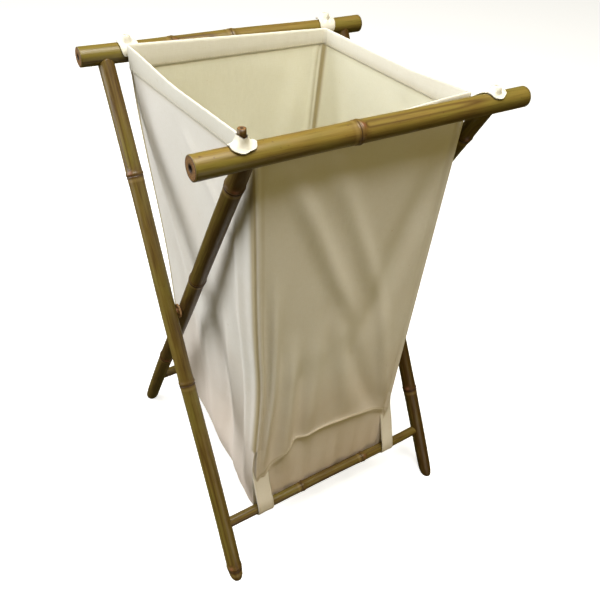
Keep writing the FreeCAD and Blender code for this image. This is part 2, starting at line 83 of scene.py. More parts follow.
# %% [markdown]
# Colours are easier to judge as the 0 to 255 numbers of a paint chart, but shaders mix light, which
# is linear, so one helper turns the first into the second.

# %% Colours as light
def paint(red, green, blue):
    """A chart colour as linear light: below 0.04 it is divided by 12.92, above it is a power of 2.4."""
    share = np.array([red, green, blue]) / 255
    light = np.where(share < 0.04045, share / 12.92, ((share + 0.055) / 1.055) ** 2.4)
    return (*[float(v) for v in light], 1.0)


print("olive skin of the poles as light:", [round(v, 3) for v in paint(116, 103, 44)])

# %% [markdown]
# A shader is a drawing of boxes and wires. Written as Python it reads like arithmetic: a Value wraps
# one output socket, and an operator on it adds the Math node that does that sum. The reflected forms
# let a plain number stand on the left, as in 1 - mask. Colours must not pass through a Math node,
# which would turn them grey, so they are mixed in one method of their own.

# %% Shader sums as Python
class Value:
    """One output socket, with sums that add Math nodes to its paint."""

    def __init__(self, recipe, socket):
        self.recipe, self.socket = recipe, socket

    def sum(self, kind, *others, clamp=False):
        settings = {"operation": kind, "use_clamp": clamp}
        return self.recipe.node("ShaderNodeMath", settings, dict(enumerate(others)))

    def __add__(self, other):
        return self.sum("ADD", self, other)

    def __mul__(self, other):
        return self.sum("MULTIPLY", self, other)

    def __sub__(self, other):
        return self.sum("SUBTRACT", self, other)

    def __rsub__(self, other):
        return self.sum("SUBTRACT", other, self)

    __radd__, __rmul__ = __add__, __mul__

    def clip(self):
        return self.sum("ADD", self, 0.0, clamp=True)

    def size(self):
        return self.sum("ABSOLUTE", self)

    def sine(self):
        return self.sum("SINE", self)

    def ramp(self, start, end):
        """0 at start, 1 at end, straight between."""
        settings = {"clamp": True}
        inputs = {"Value": self, "From Min": start, "From Max": end}
        return self.recipe.node("ShaderNodeMapRange", settings, inputs)


class Paint:
    """A material whose nodes are added by sums and by one method."""

    def __init__(self, name):
        self.material = bpy.data.materials.new(name)
        self.material.use_nodes = True
        self.tree = self.material.node_tree
        self.shader = self.tree.nodes["Principled BSDF"]

    def node(self, kind, settings=None, inputs=None, output=0):
        """Any node: its settings first, then the values or links of its sockets."""
        made = self.tree.nodes.new(kind)
        for key, value in (settings or {}).items():
            setattr(made, key, value)
        for key, value in (inputs or {}).items():
            if isinstance(value, Value):
                self.tree.links.new(value.socket, made.inputs[key])
            else:
                made.inputs[key].default_value = value
        return Value(self, made.outputs[output])

    def mark(self, name, output="Fac"):
        """A named attribute of the mesh."""
        return self.node("ShaderNodeAttribute", {"attribute_name": name}, output=output)

    def stretch(self, where, x, y, z):
        settings = {"operation": "MULTIPLY"}
        return self.node("ShaderNodeVectorMath", settings, {0: where, 1: (x, y, z)})

    def noise(self, where, scale, detail=3.0, rough=0.55):
        inputs = {"Vector": where, "Scale": scale, "Detail": detail, "Roughness": rough}
        return self.node("ShaderNodeTexNoise", {}, inputs)

    def mix(self, share, first, second):
        """first where share is 0, second where it is 1."""
        settings = {"data_type": "RGBA", "clamp_factor": True}
        return self.node("ShaderNodeMix", settings, {0: share, 6: first, 7: second}, output=2)

    def set(self, **sockets):
        """Constants go straight on the shader's own sockets; links go to the sockets that vary."""
        for key, value in sockets.items():
            socket = self.shader.inputs[key.replace("_", " ")]
            if isinstance(value, Value):
                self.tree.links.new(value.socket, socket)
            else:
                socket.default_value = value
        return self.material

    def relief(self, height, depth, strength=1.0):
        """A Bump node: height is 0 to 1, depth what 1 stands for in metres."""
        inputs = {"Height": height, "Distance": depth, "Strength": strength}
        self.set(Normal=self.node("ShaderNodeBump", {}, inputs))


print("shader sums are ready")

# %% [markdown]
# Bamboo is not one brown. Under its lacquer the skin runs from olive to honey, fine fibres streak it
# lengthways, old sun and flame leave brown clouds, and each ring is red brown with a dark line where
# the leaf sheath sat. One side of each pole is browner still, partly from age and partly as painted
# shade on the side turned from the light, and the two flanks of each groove carry painted shade. A
# box-mapped wood picture would ignore the rings. Here each pole carries marks made with its mesh
# (where along it a point is, how far from a ring, how deep in a groove), and the paint reads those,
# so that every stain sits where it grew.

# %% Bamboo
def bamboo_paint():
    made = Paint("bamboo")
    grain = made.mark("pole_space", "Vector")
    gap, tone = made.mark("ring_gap"), made.mark("tone")
    groove, cut_end, scar = made.mark("groove"), made.mark("cut_end"), made.mark("scar")
    clouds = made.noise(made.stretch(grain, 1, 1, 0.22), 55, 4)
    streaks = made.noise(made.stretch(grain, 1, 1, 0.035), 420, 3)
    fibres = made.noise(made.stretch(grain, 1, 1, 0.02), 1500, 2)
    freckles = made.noise(made.stretch(grain, 1, 1, 0.55), 330, 2)
    olive, honey = paint(116, 103, 44), paint(134, 110, 50)
    skin = made.mix(clouds.ramp(0.38, 0.66), olive, honey)
    stain = 1 - (gap + (streaks - 0.5) * 7).size().ramp(1.5, 13.0)
    layers = (
        # tone browns the skin: a tone per internode, and a browner side that is partly age, partly painted
        # shade
        ((tone + (clouds - 0.5) * 1.5 + (streaks - 0.5) * 0.9).ramp(0.22, 1.15), (68, 46, 16)),
        (streaks.ramp(0.56, 0.74) * 0.5, (66, 46, 14)),
        (fibres.ramp(0.55, 0.8) * 0.35, (158, 140, 74)),
        (freckles.ramp(0.68, 0.76) * 0.7, (74, 46, 26)),
        (stain * 0.5, (80, 46, 18)),
        # the wax below each ring, the dark line on it, the branch scar, and painted shade on the groove's
        # two flanks
        ((1 - (gap + 5.5).size().ramp(0.8, 3.4)) * 0.35, (152, 130, 76)),
        ((1 - (gap + 0.4).size().ramp(0.25, 1.0)) * 0.9, (46, 28, 18)),
        (scar * (0.3 + clouds), (126, 80, 56)),
        (groove.ramp(0.25, 0.6) * (1 - groove.ramp(0.62, 0.9)) * 0.75, (74, 50, 18)),
    )
    for share, colour in layers:
        skin = made.mix(share, skin, paint(*colour))
    core = made.noise(made.stretch(grain, 1, 1, 0.1), 900, 2)
    ends = made.mix(core.ramp(0.36, 0.66), paint(88, 56, 30), paint(156, 116, 66))
    # rim: the dark skin ring of a sawn end, which is the bamboo's own, and the inside of the pith hole,
    # whose dark is painted shade
    rim = made.mark("rim")
    ends = made.mix(rim, ends, paint(40, 24, 14))
    made.relief(streaks * 0.5 + fibres * 0.3 + clouds * 0.5, 0.00035)
    rough = 0.36 + (clouds - 0.5) * 0.3 + stain * 0.1 + cut_end * 0.35
    return made.set(
        Base_Color=made.mix(cut_end, skin, ends),
        Roughness=rough,
        Coat_Weight=0.15,
        Coat_Roughness=0.25,
        Specular_IOR_Level=0.35,
    )


BAMBOO = bamboo_paint()
print("bamboo has", len(BAMBOO.node_tree.nodes), "nodes")

# %% [markdown]
# The turned parts are small hardwood dowels and discs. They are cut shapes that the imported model
# already has right, so they keep their meshes and only need a finish, read from Object coordinates.

# %% Dowel wood, washer wood and steel
def turned_wood(name, light, dark, stretch):
    made = Paint(name)
    where = made.node("ShaderNodeTexCoord", output="Object")
    grain = made.noise(made.stretch(where, *stretch), 700, 3)
    pores = made.noise(made.stretch(where, *stretch), 2600, 2)
    made.relief(grain * 0.7 + pores * 0.3, 0.0003)
    share = (grain.ramp(0.35, 0.68) + pores.ramp(0.6, 0.75) * 0.4).clip()
    return made.set(Base_Color=made.mix(share, light, dark), Roughness=0.45 + grain * 0.25)


def steel_paint():
    made = Paint("steel_brads")
    where = made.node("ShaderNodeTexCoord", output="Object")
    tarnish = made.noise(where, 1800, 3)
    shade = made.mix(tarnish.ramp(0.4, 0.65), paint(96, 88, 80), paint(46, 36, 30))
    made.relief(tarnish, 0.0001)
    return made.set(Base_Color=shade, Roughness=0.3 + tarnish * 0.4, Metallic=0.85)


DOWEL_WOOD = turned_wood("hardwood_dowel", paint(150, 104, 62), paint(92, 58, 32), (1, 1, 0.12))
WASHER_WOOD = turned_wood("washer_wood", paint(176, 138, 92), paint(128, 92, 56), (0.2, 1, 1))
STEEL = steel_paint()
FINISHES = {"dowel": DOWEL_WOOD, "pin": DOWEL_WOOD, "washer": WASHER_WOOD, "brads": STEEL}
for name, node in frame["nodes"].items():
    for word, finish in FINISHES.items():
        if word in name.split("_"):
            for place in node.material_slots:
                place.material = finish
print("finishes given to the turned parts")

# %% [markdown]
# Every new piece is a surface worked out as whole arrays: a grid of points, rows by columns, and the
# quads between them. One helper numbers the quads, one puts points, quads and marks into a mesh.

# %% Grids into meshes
def grid_faces(rows, columns, around=False, start=0):
    """Quads of a grid numbered row by row; around also joins the last column to the first."""
    count = columns if around else columns - 1
    row, column = np.meshgrid(np.arange(rows - 1), np.arange(count), indexing="ij")
    following = (column + 1) % columns
    here, there = row * columns + column, row * columns + following
    return start + np.stack([here, there, there + columns, here + columns], -1).reshape(-1, 4)


def fan(ring, centre, flip=False):
    """Triangles from a closed ring of points to one point."""
    after = np.roll(ring, -1)
    order = [after, ring] if flip else [ring, after]
    return np.stack([*order, np.full(len(ring), centre)], -1)


def piece(name, points, faces, finish, marks=None, cloth=None, normals=None):
    """A smooth mesh object at the origin. marks are attributes, cloth the flat (u, v) in metres."""
    mesh = bpy.data.meshes.new(name)
    mesh.from_pydata(np.asarray(points).tolist(), [], [f for part in faces for f in part.tolist()])
    mesh.polygons.foreach_set("use_smooth", np.ones(len(mesh.polygons), bool))
    for key, values in (marks or {}).items():
        vector = np.ndim(values) == 2
        layer = mesh.attributes.new(key, "FLOAT_VECTOR" if vector else "FLOAT", "POINT")
        layer.data.foreach_set("vector" if vector else "value", np.ravel(values).astype(np.float32))
    if cloth is not None:
        corner = np.zeros(len(mesh.loops), np.int32)
        mesh.loops.foreach_get("vertex_index", corner)
        layer = mesh.uv_layers.new(name="cloth")
        layer.data.foreach_set("uv", np.ravel(cloth[corner]).astype(np.float32))
    mesh.update()
    if normals is not None:
        mesh.normals_split_custom_set_from_vertices(normals.tolist())
    mesh.materials.append(finish)
    made = bpy.data.objects.new(name, mesh)
    bpy.context.collection.objects.link(made)
    return made


def smooth(value, start, end):
    """0 before start, 1 after end, and an even S between: 3 t squared less 2 t cubed."""
    t = np.clip((np.asarray(value, float) - start) / (end - start), 0, 1)
    return t * t * (3 - 2 * t)


def hump(value, centre, width):
    """A bell: e to the power of minus the distance over the width, squared."""
    return np.exp(-(((value - centre) / width) ** 2))


def tube_faces(rows, columns):
    """A closed tube's quads, and fans to its two end points, which are numbered last."""
    ring = np.arange(columns)
    first, last = rows * columns, rows * columns + 1
    end_ring = ring + (rows - 1) * columns
    return [grid_faces(rows, columns, around=True), fan(ring, first, flip=True), fan(end_ring, last)]


def together(*parts):
    """Coordinates of one shape, given apart, as one array with the coordinate last."""
    return np.stack(np.broadcast_arrays(*parts), -1)


def turns(count):
    """Even angles once round, as a row."""
    return np.linspace(0, 2 * math.pi, count, endpoint=False)[None]


def run_along(line):
    """The distance along a line of points, from 0 at its first one."""
    return np.concatenate([[0], np.cumsum(np.linalg.norm(np.diff(line, axis=0), axis=1))])


def sample(line, run, at):
    """The points of a line at the distances at, where run is the distance of each given point."""
    return np.stack([np.interp(at, run, axis) for axis in line.T], -1)


print("a 3 by 4 grid has", len(grid_faces(3, 4)), "quads")

# %% [markdown]
# A pole could be a plain tube with a texture, but bamboo shows its growth in its outline: it tapers
# from ring to ring, swells into a double ridge at each ring, and carries a shallow groove with a
# branch scar at its foot, on alternate sides. The pole is therefore a radius that depends on the
# place along it and on the angle round it, so that light catches all of these in any view.

# %% The bamboo pole
def ring_relief(gap):
    """A leaf scar's thin edge, a nick above it, then the broad ridge: three bells, in metres."""
    edge, nick = 0.0005 * hump(gap, -0.0014, 0.0008), -0.0003 * hump(gap, 0.0003, 0.0007)
    return edge + nick + 0.0008 * hump(gap, 0.0028, 0.0022) + 0.0003 * hump(gap, 0, 0.012)


def turn_gap(angle, centre):
    """The shorter way round from centre to angle."""
    return (angle - centre + math.pi) % (2 * math.pi) - math.pi


def groove_marks(along, angle, rings, end, first):
    """A groove above each ring that fades before the next, and the branch scar at its foot."""
    depth, scar = 0.0, 0.0
    for count, ring in enumerate(rings):
        reach = (rings[count + 1] if count + 1 < len(rings) else end) - ring
        side = turn_gap(angle, first + math.pi * count)
        share = smooth(along, ring + 0.002, ring + 0.012)
        share = share * (1 - smooth(along, ring + 0.45 * reach, ring + 0.95 * reach))
        depth = depth + hump(side, 0, 0.42) * share
        scar = scar + hump(side, 0, 0.3) * hump(along, ring + 0.0045, 0.003)
    return depth, scar


ENDS = ((0.985, 0.0006), (0.93, 0.0), (0.86, 0.0), (0.5, 0.0), (0.26, 0.0), (0.22, -0.0012), (0.2, -0.016))


def culm(
    name, node, radius, rings, ends, place, axes, seed, tone, groove, sway, dark=(0.0, 0.0), worn=0.0
):
    """A pole: at each station along it and angle round it, the radius is the plain radius, with a
    gentle taper, plus the ring relief, less the groove. The centre line strays by sway, in sines
    that vanish at both ends. ends are two functions of the distance across, so that an end can be
    cut flat on the floor or hollowed to a rail. Caps are rings of falling radius, then a point. dark
    is the angle of the browner side and how much browner it is, a brown that is partly age and partly
    painted shade on the side turned from the light; worn narrows and rounds the low end."""
    rng = np.random.default_rng(seed)
    low, high = ends[0](0.0), ends[1](0.0)
    stations = [np.arange(low + 0.002, high - 0.001, 0.006), [low + 0.0006, high - 0.0006]]
    for ring in rings:
        stations.append(ring + np.linspace(-0.010, 0.012, 35))
    stations = np.unique(np.concatenate(stations).round(5))
    stations = stations[(stations > low) & (stations < high)]
    angle = turns(56)
    s = np.concatenate([[low] * len(ENDS), stations, [high] * len(ENDS)])[:, None]
    scale = np.concatenate([[r for r, _ in ENDS][::-1], np.ones(len(stations)), [r for r, _ in ENDS]])
    inset = [(i if i < 0 else -i) for _, i in ENDS]
    shift = np.concatenate([-np.array(inset[::-1]), np.zeros(len(stations)), inset])[:, None]
    gaps = s - np.array(rings)[None]
    gap = gaps[np.arange(len(s)), np.abs(gaps).argmin(1)][:, None]
    depth, scar = groove_marks(s, angle, rings, high, groove)
    lumps = np.sin(3 * angle + seed) * 0.006 + np.sin(2 * angle + 31 * s + seed) * 0.008
    taper = 1 + lumps - 0.02 * (s - low) / (high - low)
    r = radius * taper + ring_relief(gap) - 0.08 * radius * depth + 0.05 * radius * scar
    cap = scale[:, None] < 0.99
    r = np.where(cap, radius * 0.99 * scale[:, None], r)
    r = r * (1 - worn * (0.4 * np.exp(-(s - low) / 0.020) + 0.6 * np.exp(-(s - low) / 0.0035)))
    t = (s - low) / (high - low)
    waves = rng.uniform(-1, 1, 4)
    stray_x = sway * (waves[0] * np.sin(math.pi * t) + waves[1] * np.sin(3 * math.pi * t))
    stray_y = sway * (waves[2] * np.sin(2 * math.pi * t) + waves[3] * np.sin(3 * math.pi * t))
    x, y = r * np.cos(angle) + stray_x, r * np.sin(angle) + stray_y
    pull_low = (1 - smooth(s, low, low + 0.03)) * (ends[0](y) - low)
    pull_high = smooth(s, high - 0.03, high) * (ends[1](y) - high)
    z = s + shift + pull_low + pull_high
    local = np.stack([x, y, z], -1).reshape(-1, 3)
    columns, rows = angle.shape[1], len(s)
    tips = [[0, 0, z[0].mean()], [0, 0, z[-1].mean()]]
    local = np.concatenate([local, tips])
    part = np.searchsorted(rings, s[:, 0])
    tones = tone + rng.uniform(-0.12, 0.12, len(rings) + 1)[part]

    def spread(values, tip=0.0):
        full = np.broadcast_to(values, (rows, columns)).ravel()
        return np.concatenate([full, [tip, tip]])

    marks = {
        "pole_space": local + np.array([0, 0, seed * 1.7]),
        "ring_gap": spread(gap * 1000, 50.0),
        "groove": spread(depth),
        "scar": spread(scar),
        # tone: the internode's tone, plus a browner side that is partly age and partly painted shade
        "tone": spread(tones[:, None] + dark[1] * smooth(np.cos(angle - dark[0]), -0.3, 0.9), tone),
        "cut_end": spread(scale[:, None] < 0.96, 1.0),
        # rim: the skin ring of a sawn end, and the pith hole's inside, painted dark as shade
        "rim": spread((scale[:, None] < 0.3) | ((scale[:, None] < 0.95) & (scale[:, None] > 0.9)), 1.0),
    }
    points = np.asarray(place) + local @ np.asarray(axes)
    made = piece(name, points, tube_faces(rows, columns), BAMBOO, marks)
    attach(made, BODY_OF[node])
    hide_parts(node)
    return made


BODIES = frame["record"]["behaviour"]["bodies"]
BODY_OF = {node: body for body, nodes in BODIES.items() for node in nodes}
print(len(BODY_OF), "nodes have a body")

# %% [markdown]
# The legs lean by the same angle, the inner pair forward and the outer pair back. Their feet are sawn
# level with the floor, and their tops are hollowed to sit against a rail like a saddle. Rather than
# cut a finished mesh with booleans, the last centimetres of the grid are pulled to those two shapes,
# which keeps the quads even and the rings untouched.

# %% Legs
def middle(node):
    low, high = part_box(node)
    return [(a + b) / 2 for a, b in zip(low, high)]


def sided(word, side):
    """A node's name: side is -1 on the left and 1 on the right."""
    return f"{word}_{'left' if side < 0 else 'right'}"


RAIL_RADIUS, LEG_RADIUS, BAR_RADIUS = 0.0125, 0.0105, 0.00725
RAIL_Y, RAIL_Z = middle("rear_rail")[1], middle("rear_rail")[2]
FOOT_Y, SPARE = 0.194, 0.010
TILT = math.atan((RAIL_Y + FOOT_Y) / RAIL_Z)
TO_RAIL = SPARE + RAIL_Z / math.cos(TILT)
LEG_LENGTH = TO_RAIL - 0.005
LEG_X = {"inner": 0.157, "outer": 0.181}


def leg(frame_name, side, rings, seed, tone, groove):
    lean = 1 if frame_name == "inner" else -1
    slant = math.tan(TILT) * lean
    axes = [
        (1, 0, 0),
        (0, math.cos(TILT), lean * math.sin(TILT)),
        (0, -lean * math.sin(TILT), math.cos(TILT)),
    ]
    foot = lean * (FOOT_Y + SPARE * math.sin(TILT))
    place = (side * LEG_X[frame_name], foot, -SPARE * math.cos(TILT))
    ends = (
        lambda y: SPARE - y * slant,
        lambda y: TO_RAIL - np.sqrt(RAIL_RADIUS**2 - np.square(y)),
    )
    node = sided(f"{frame_name}_leg", side)
    at = [LEG_LENGTH * share for share in rings]
    name = node + "_culm"
    # the side turned front and right is browner, partly from age and partly as painted shade
    return culm(name, node, LEG_RADIUS, at, ends, place, axes, seed, tone, groove, 0.0009, (5.2, 0.3), 0.30)


leg("inner", -1, (0.30, 0.668, 0.942), 3, 0.95, 4.3)
leg("inner", 1, (0.17, 0.41, 0.68, 0.93), 5, 0.85, 1.2)
leg("outer", -1, (0.033, 0.415, 0.80), 8, 0.45, 3.9)
leg("outer", 1, (0.22, 0.48, 0.79), 11, 1.05, 3.7)
print("legs lean", round(math.degrees(TILT), 2), "degrees and are", round(LEG_LENGTH, 3), "m long")

# %% [markdown]
# Rails and crossbars are the same pole laid along X. A rail's sawn ends are seen, so they get a rim of
# hard dark skin, fibres, and the small pith hole of a nearly solid bamboo, its inside painted dark as
# shade.

# %% Rails and crossbars
def crosspiece(node, radius, rings, seed, tone, groove):
    low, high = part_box(node)
    length = high[0] - low[0]
    centre = middle(node)
    axes = [(0, 0, -1), (0, 1, 0), (1, 0, 0)]
    ends = (lambda y: 0.0 * y, lambda y: length + 0.0 * y)
    at = [length * share for share in rings]
    place = (low[0], centre[1], centre[2])
    # the lower front side is browner, partly from age and partly as painted shade
    name, dark = node + "_culm", (5.7, 0.55)
    return culm(name, node, radius, at, ends, place, axes, seed, tone, groove, 0.0005, dark)


crosspiece("front_rail", RAIL_RADIUS, (0.424,), 2, 0.12, 3.75)
crosspiece("rear_rail", RAIL_RADIUS, (0.285, 0.49), 7, 0.35, 3.9)
crosspiece("front_crossbar", BAR_RADIUS, (-0.05, 0.36, 0.67), 4, 0.65, 3.8)
crosspiece("rear_crossbar", BAR_RADIUS, (0.31, 0.66), 9, 0.55, 3.8)
print("rails and crossbars laid")

# %% [markdown]
# Washed cotton canvas is a plain weave of slubby threads, and it is never one white: it takes up dust
# along its folds, and here it turns pinker and darker towards the floor. Its inside is painted a touch
# yellower, which is painted warm light bounced about within the bag. A repeated picture of cloth would
# show its tile. The threads here are two crossed sine waves on the cloth's own flat (u, v), in metres,
# so they follow every fold and keep their real size, and the stains are noise in space.

# %% Canvas
def canvas_paint(name, light, shade, low_tint):
    made = Paint(name)
    flat = made.node("ShaderNodeUVMap", {"uv_map": "cloth"})
    where = made.node("ShaderNodeTexCoord", output="Object")
    thread = made.node("ShaderNodeSeparateXYZ", {}, {0: flat})
    across, along = thread, Value(made, thread.socket.node.outputs[1])
    slub = made.noise(made.stretch(flat, 1, 0.12, 1), 900, 2)
    slub_weft = made.noise(made.stretch(flat, 0.12, 1, 1), 900, 2)
    pitch = 2 * math.pi / 0.0011
    warp, weft = (across * pitch).sine(), (along * pitch).sine()
    weave = warp * weft * 0.5 + (warp * warp + weft * weft) * 0.25
    clouds = made.noise(where, 9, 4)
    creases = made.noise(where, 34, 5, 0.62)
    crush = made.noise(made.stretch(where, 1, 1, 0.35), 75, 4)
    colour = made.mix((slub * 0.6 + slub_weft * 0.6 - 0.1).clip(), shade, light)
    colour = made.mix(clouds.ramp(0.44, 0.72) * 0.35, colour, shade)
    height = made.node("ShaderNodeSeparateXYZ", {}, {0: where}, output=2)
    # Towards the floor the cloth turns pinker and darker.
    low = (1 - height.ramp(0.05, 0.34)) * 0.75 + (clouds - 0.5) * 0.5
    colour = made.mix(low.clip() * low_tint, colour, paint(222, 194, 172))
    spots = made.noise(where, 120, 2).ramp(0.73, 0.77) * clouds.ramp(0.45, 0.6)
    colour = made.mix(spots * 0.35, colour, paint(190, 166, 124))
    # seam darkens the cloth along stitch lines and edges, and at the bag's corners it is painted shade in
    # the corner seams.
    seam = made.mark("seam")
    colour = made.mix((seam * 0.55).clip(), colour, paint(168, 150, 104))
    lift = weave * 0.10 + slub * 0.05 + slub_weft * 0.05 + creases * 0.45 + crush * 0.55
    made.relief(lift, 0.0022, 0.55)
    return made.set(Base_Color=colour, Roughness=0.86 + slub * 0.1, Specular_IOR_Level=0.2)


OUTSIDE = canvas_paint("canvas_outside", paint(240, 236, 230), paint(228, 222, 208), 0.7)
# The inside is a touch yellower than the outside: painted warm light, bounced about within the bag.
INSIDE_BOUNCE_TINT = canvas_paint("canvas_inside_bounce_tint", paint(238, 236, 220), paint(226, 222, 198), 0.2)
TAPE = canvas_paint("canvas_tape", paint(236, 233, 224), paint(222, 217, 200), 0.35)
print("canvas is woven")

# %% [markdown]
# The bag is one loft. Round its rim runs a rounded rectangle, narrower at each lower level, and every
# point is then moved along its panel's own face by soft folds. Columns are shared by all levels.
# On the two sides the columns stand at fixed depths and the levels at matching shares of the height,
# so that each side's diagonals run exactly through grid points. The bag is cut there later, and the
# parts keep their edges together.

# %% The bag's columns and levels
TOP, HEM, LOW, FLOOR = 0.653, 0.632, 0.190, 0.043
SIDE_HALF, CORNER, CLOTH = 0.142, 0.004, 0.0013
STEPS = 71
even = np.linspace(0, 1, STEPS)
share = 0.5 * even + 0.25 * (1 - np.cos(math.pi * even))
share = (share + 1 - share[::-1]) / 2
bend = np.radians([22.5, 45.0, 67.5])
column_side = np.concatenate([np.r_[np.full(STEPS, k), np.full(3, k + 0.5)] for k in range(4)])
column_share = np.tile(np.r_[share, 0.0, 0.0, 0.0], 4)
column_turn = np.concatenate([np.r_[np.zeros(STEPS), bend] + k * math.pi / 2 for k in range(4)])
column_turn = column_turn - math.pi / 2
levels = np.r_[np.linspace(TOP, HEM, 6)[:-1], LOW + (HEM - LOW) * share[::-1]]
print(len(column_side), "columns and", len(levels), "levels")

# %% [markdown]
# A fold in cloth under light tension is a soft ridge along a line, which dies out at both ends. Each
# panel gets a few, where its weight and its corner straps pull it, with a slow waviness between them.

# %% Folds
def ridge(u, z, line, width, height):
    """A bell across the line from (u0, z0) to (u1, z1), fading towards both of its ends."""
    u0, z0, u1, z1 = line
    du, dz = u1 - u0, z1 - z0
    length = math.hypot(du, dz)
    t = ((u - u0) * du + (z - z0) * dz) / length**2
    off = ((u - u0) * dz - (z - z0) * du) / length
    return height * hump(off, 0, width) * smooth(t, -0.05, 0.3) * (1 - smooth(t, 0.7, 1.05))


def drift(u, z, seed, size):
    """Slow waviness: five sines of random direction, 60 to 200 mm long."""
    rng = np.random.default_rng(seed)
    total = 0.0
    for _ in range(5):
        kx, kz, phase = rng.uniform(-70, 70), rng.uniform(-35, 35), rng.uniform(0, 6)
        total = total + np.sin(kx * u + kz * z + phase) / 5
    return size * total


FRONT_FOLDS = [
    ((-0.104, 0.63, 0.020, 0.36), 0.013, 0.0075),
    ((-0.050, 0.63, 0.060, 0.38), 0.014, 0.0065),
    ((0.118, 0.60, 0.030, 0.30), 0.022, -0.0065),
    ((-0.116, 0.50, -0.110, 0.08), 0.0050, -0.0040),
    ((-0.104, 0.50, -0.100, 0.08), 0.0060, 0.0060),
    ((-0.090, 0.42, -0.088, 0.10), 0.0060, -0.0045),
    ((-0.076, 0.38, -0.074, 0.12), 0.0070, 0.0060),
    ((-0.058, 0.34, -0.060, 0.14), 0.0090, -0.0050),
    ((-0.036, 0.40, -0.046, 0.16), 0.0120, 0.0050),
    ((0.104, 0.15, 0.050, 0.44), 0.011, 0.0070),
    ((0.085, 0.15, 0.000, 0.36), 0.013, -0.0055),
    ((0.030, 0.17, -0.020, 0.42), 0.014, 0.0060),
]
LEFT_FOLDS = [
    ((0.145, 0.64, 0.030, 0.30), 0.010, 0.0055),
    ((0.130, 0.60, 0.060, 0.20), 0.014, -0.0050),
    ((0.020, 0.62, -0.120, 0.50), 0.012, 0.0022),
    ((-0.110, 0.60, -0.125, 0.10), 0.008, 0.0045),
    ((-0.090, 0.45, -0.112, 0.06), 0.010, -0.0050),
    ((-0.060, 0.40, -0.090, 0.05), 0.011, 0.0055),
    ((-0.020, 0.36, -0.055, 0.06), 0.013, -0.0050),
    ((0.030, 0.34, -0.010, 0.06), 0.015, 0.0050),
    ((0.080, 0.30, 0.050, 0.08), 0.014, -0.0040),
]
RIGHT_FOLDS = [
    ((-0.130, 0.62, -0.080, 0.25), 0.012, 0.0040),
    ((0.100, 0.60, 0.000, 0.28), 0.016, -0.0040),
    ((0.060, 0.40, 0.090, 0.08), 0.012, 0.0045),
    ((-0.050, 0.36, -0.080, 0.06), 0.012, 0.0045),
]
REAR_FOLDS = [
    ((-0.090, 0.60, 0.020, 0.30), 0.020, 0.0040),
    ((0.100, 0.62, 0.040, 0.24), 0.018, -0.0040),
    ((0.085, 0.36, 0.100, 0.14), 0.009, 0.0040),
    ((-0.085, 0.36, -0.100, 0.14), 0.009, 0.0040),
]
FOLDS = (FRONT_FOLDS, RIGHT_FOLDS, REAR_FOLDS, LEFT_FOLDS)


def fold_height(x, y, z):
    """How far each column stands proud of its flat panel, at the points (x, y, z)."""
    total = np.zeros(np.broadcast(x, y, z).shape)
    for k, folds in enumerate(FOLDS):
        u = x if k in (0, 2) else y
        mine = (column_side == k)[None]
        made = drift(u, z, 20 + k, 0.0016)
        for line, width, height in folds:
            made = made + ridge(u, z, line, width, height)
        calm = 1 - smooth(z, 0.60, 0.632)
        edge = smooth(np.minimum(column_share, 1 - column_share)[None], 0.0, 0.06)
        total = total + np.where(mine, made * calm * edge, 0.0)
    from_seam = np.minimum(column_share, 1 - column_share)[None]
    piping = 0.0019 * hump(from_seam, 0.010, 0.009) - 0.0012 * hump(from_seam, 0.038, 0.012)
    groove = -0.0013 * hump(from_seam, 0.0, 0.014)
    seam = np.where(column_side[None] % 2 == 0, piping, groove)
    seam = np.where(column_side[None] % 1 > 0, -0.0006, seam)
    return total + seam * (1 - smooth(z, 0.625, 0.634))


print(sum(len(folds) for folds in FOLDS), "folds")

# %% [markdown]
# Two slow pulls shape the loft further: the rear left corner is drawn out towards the outer leg, and
# the front left corner leans out over its strap. They move points sideways only.

# %% The loft
def sideways(x, y, z):
    """x with the corner pulls added."""
    rear = 0.013 * np.clip(0.5 + y / 0.284, 0, 1) * smooth(z, 0.30, 0.62) * smooth(-x, 0.06, 0.14)
    low = 0.018 * smooth(-z, -0.34, -0.12) * smooth(-x, 0.05, 0.11) * smooth(-y, 0.04, 0.14)
    mid = 0.004 * smooth(-y, 0.02, 0.14) * hump(z, 0.40, 0.14) * smooth(-x, 0.05, 0.13)
    return x - rear - low - mid


def loft(z, inset=0.0):
    """The bag's wall at levels z (a column of numbers): half its width and depth shrink evenly with
    the height, straight runs lie between rounded corners, and folds stand along each face."""
    z = np.asarray(z, float)
    share_up = (z - 0.145) / (TOP - 0.145)
    half_x, half_y = 0.113 + 0.0305 * share_up, 0.146 + 0.0034 * share_up
    facing = np.stack([np.cos(column_turn), np.sin(column_turn)], -1)[None]
    run = (2 * column_share - 1)[None]
    inner_x, inner_y = half_x - CORNER, half_y - CORNER
    on_panel = [column_side == k for k in range(4)]
    corner_x = np.where(column_side < 2, inner_x, -inner_x) + CORNER * facing[..., 0]
    corner_y = np.where(np.abs(column_side - 2) < 1, inner_y, -inner_y) + CORNER * facing[..., 1]
    x = np.select(on_panel, [run * inner_x, half_x, -run * inner_x, -half_x], corner_x)
    y = np.select(on_panel, [-half_y, run * SIDE_HALF, half_y, -run * SIDE_HALF], corner_y)
    proud = fold_height(x, y, z) - inset
    x, y = x + proud * facing[..., 0], y + proud * facing[..., 1]
    return together(sideways(x, y, z), y, z), facing


wall, facing = loft(levels[:, None])
print("wall", wall.shape, "from", wall.min((0, 1)).round(3), "to", wall.max((0, 1)).round(3))

# %% [markdown]
# The pouch below the panels is the same cloth going on: it hangs, rounds under, and runs in to the
# middle of the floor. Behind the front panel's lower edge it hangs a little deeper, and at the rear
# it steps forward to clear the crossbar. It sags most at the left, where the cloth bellies out.

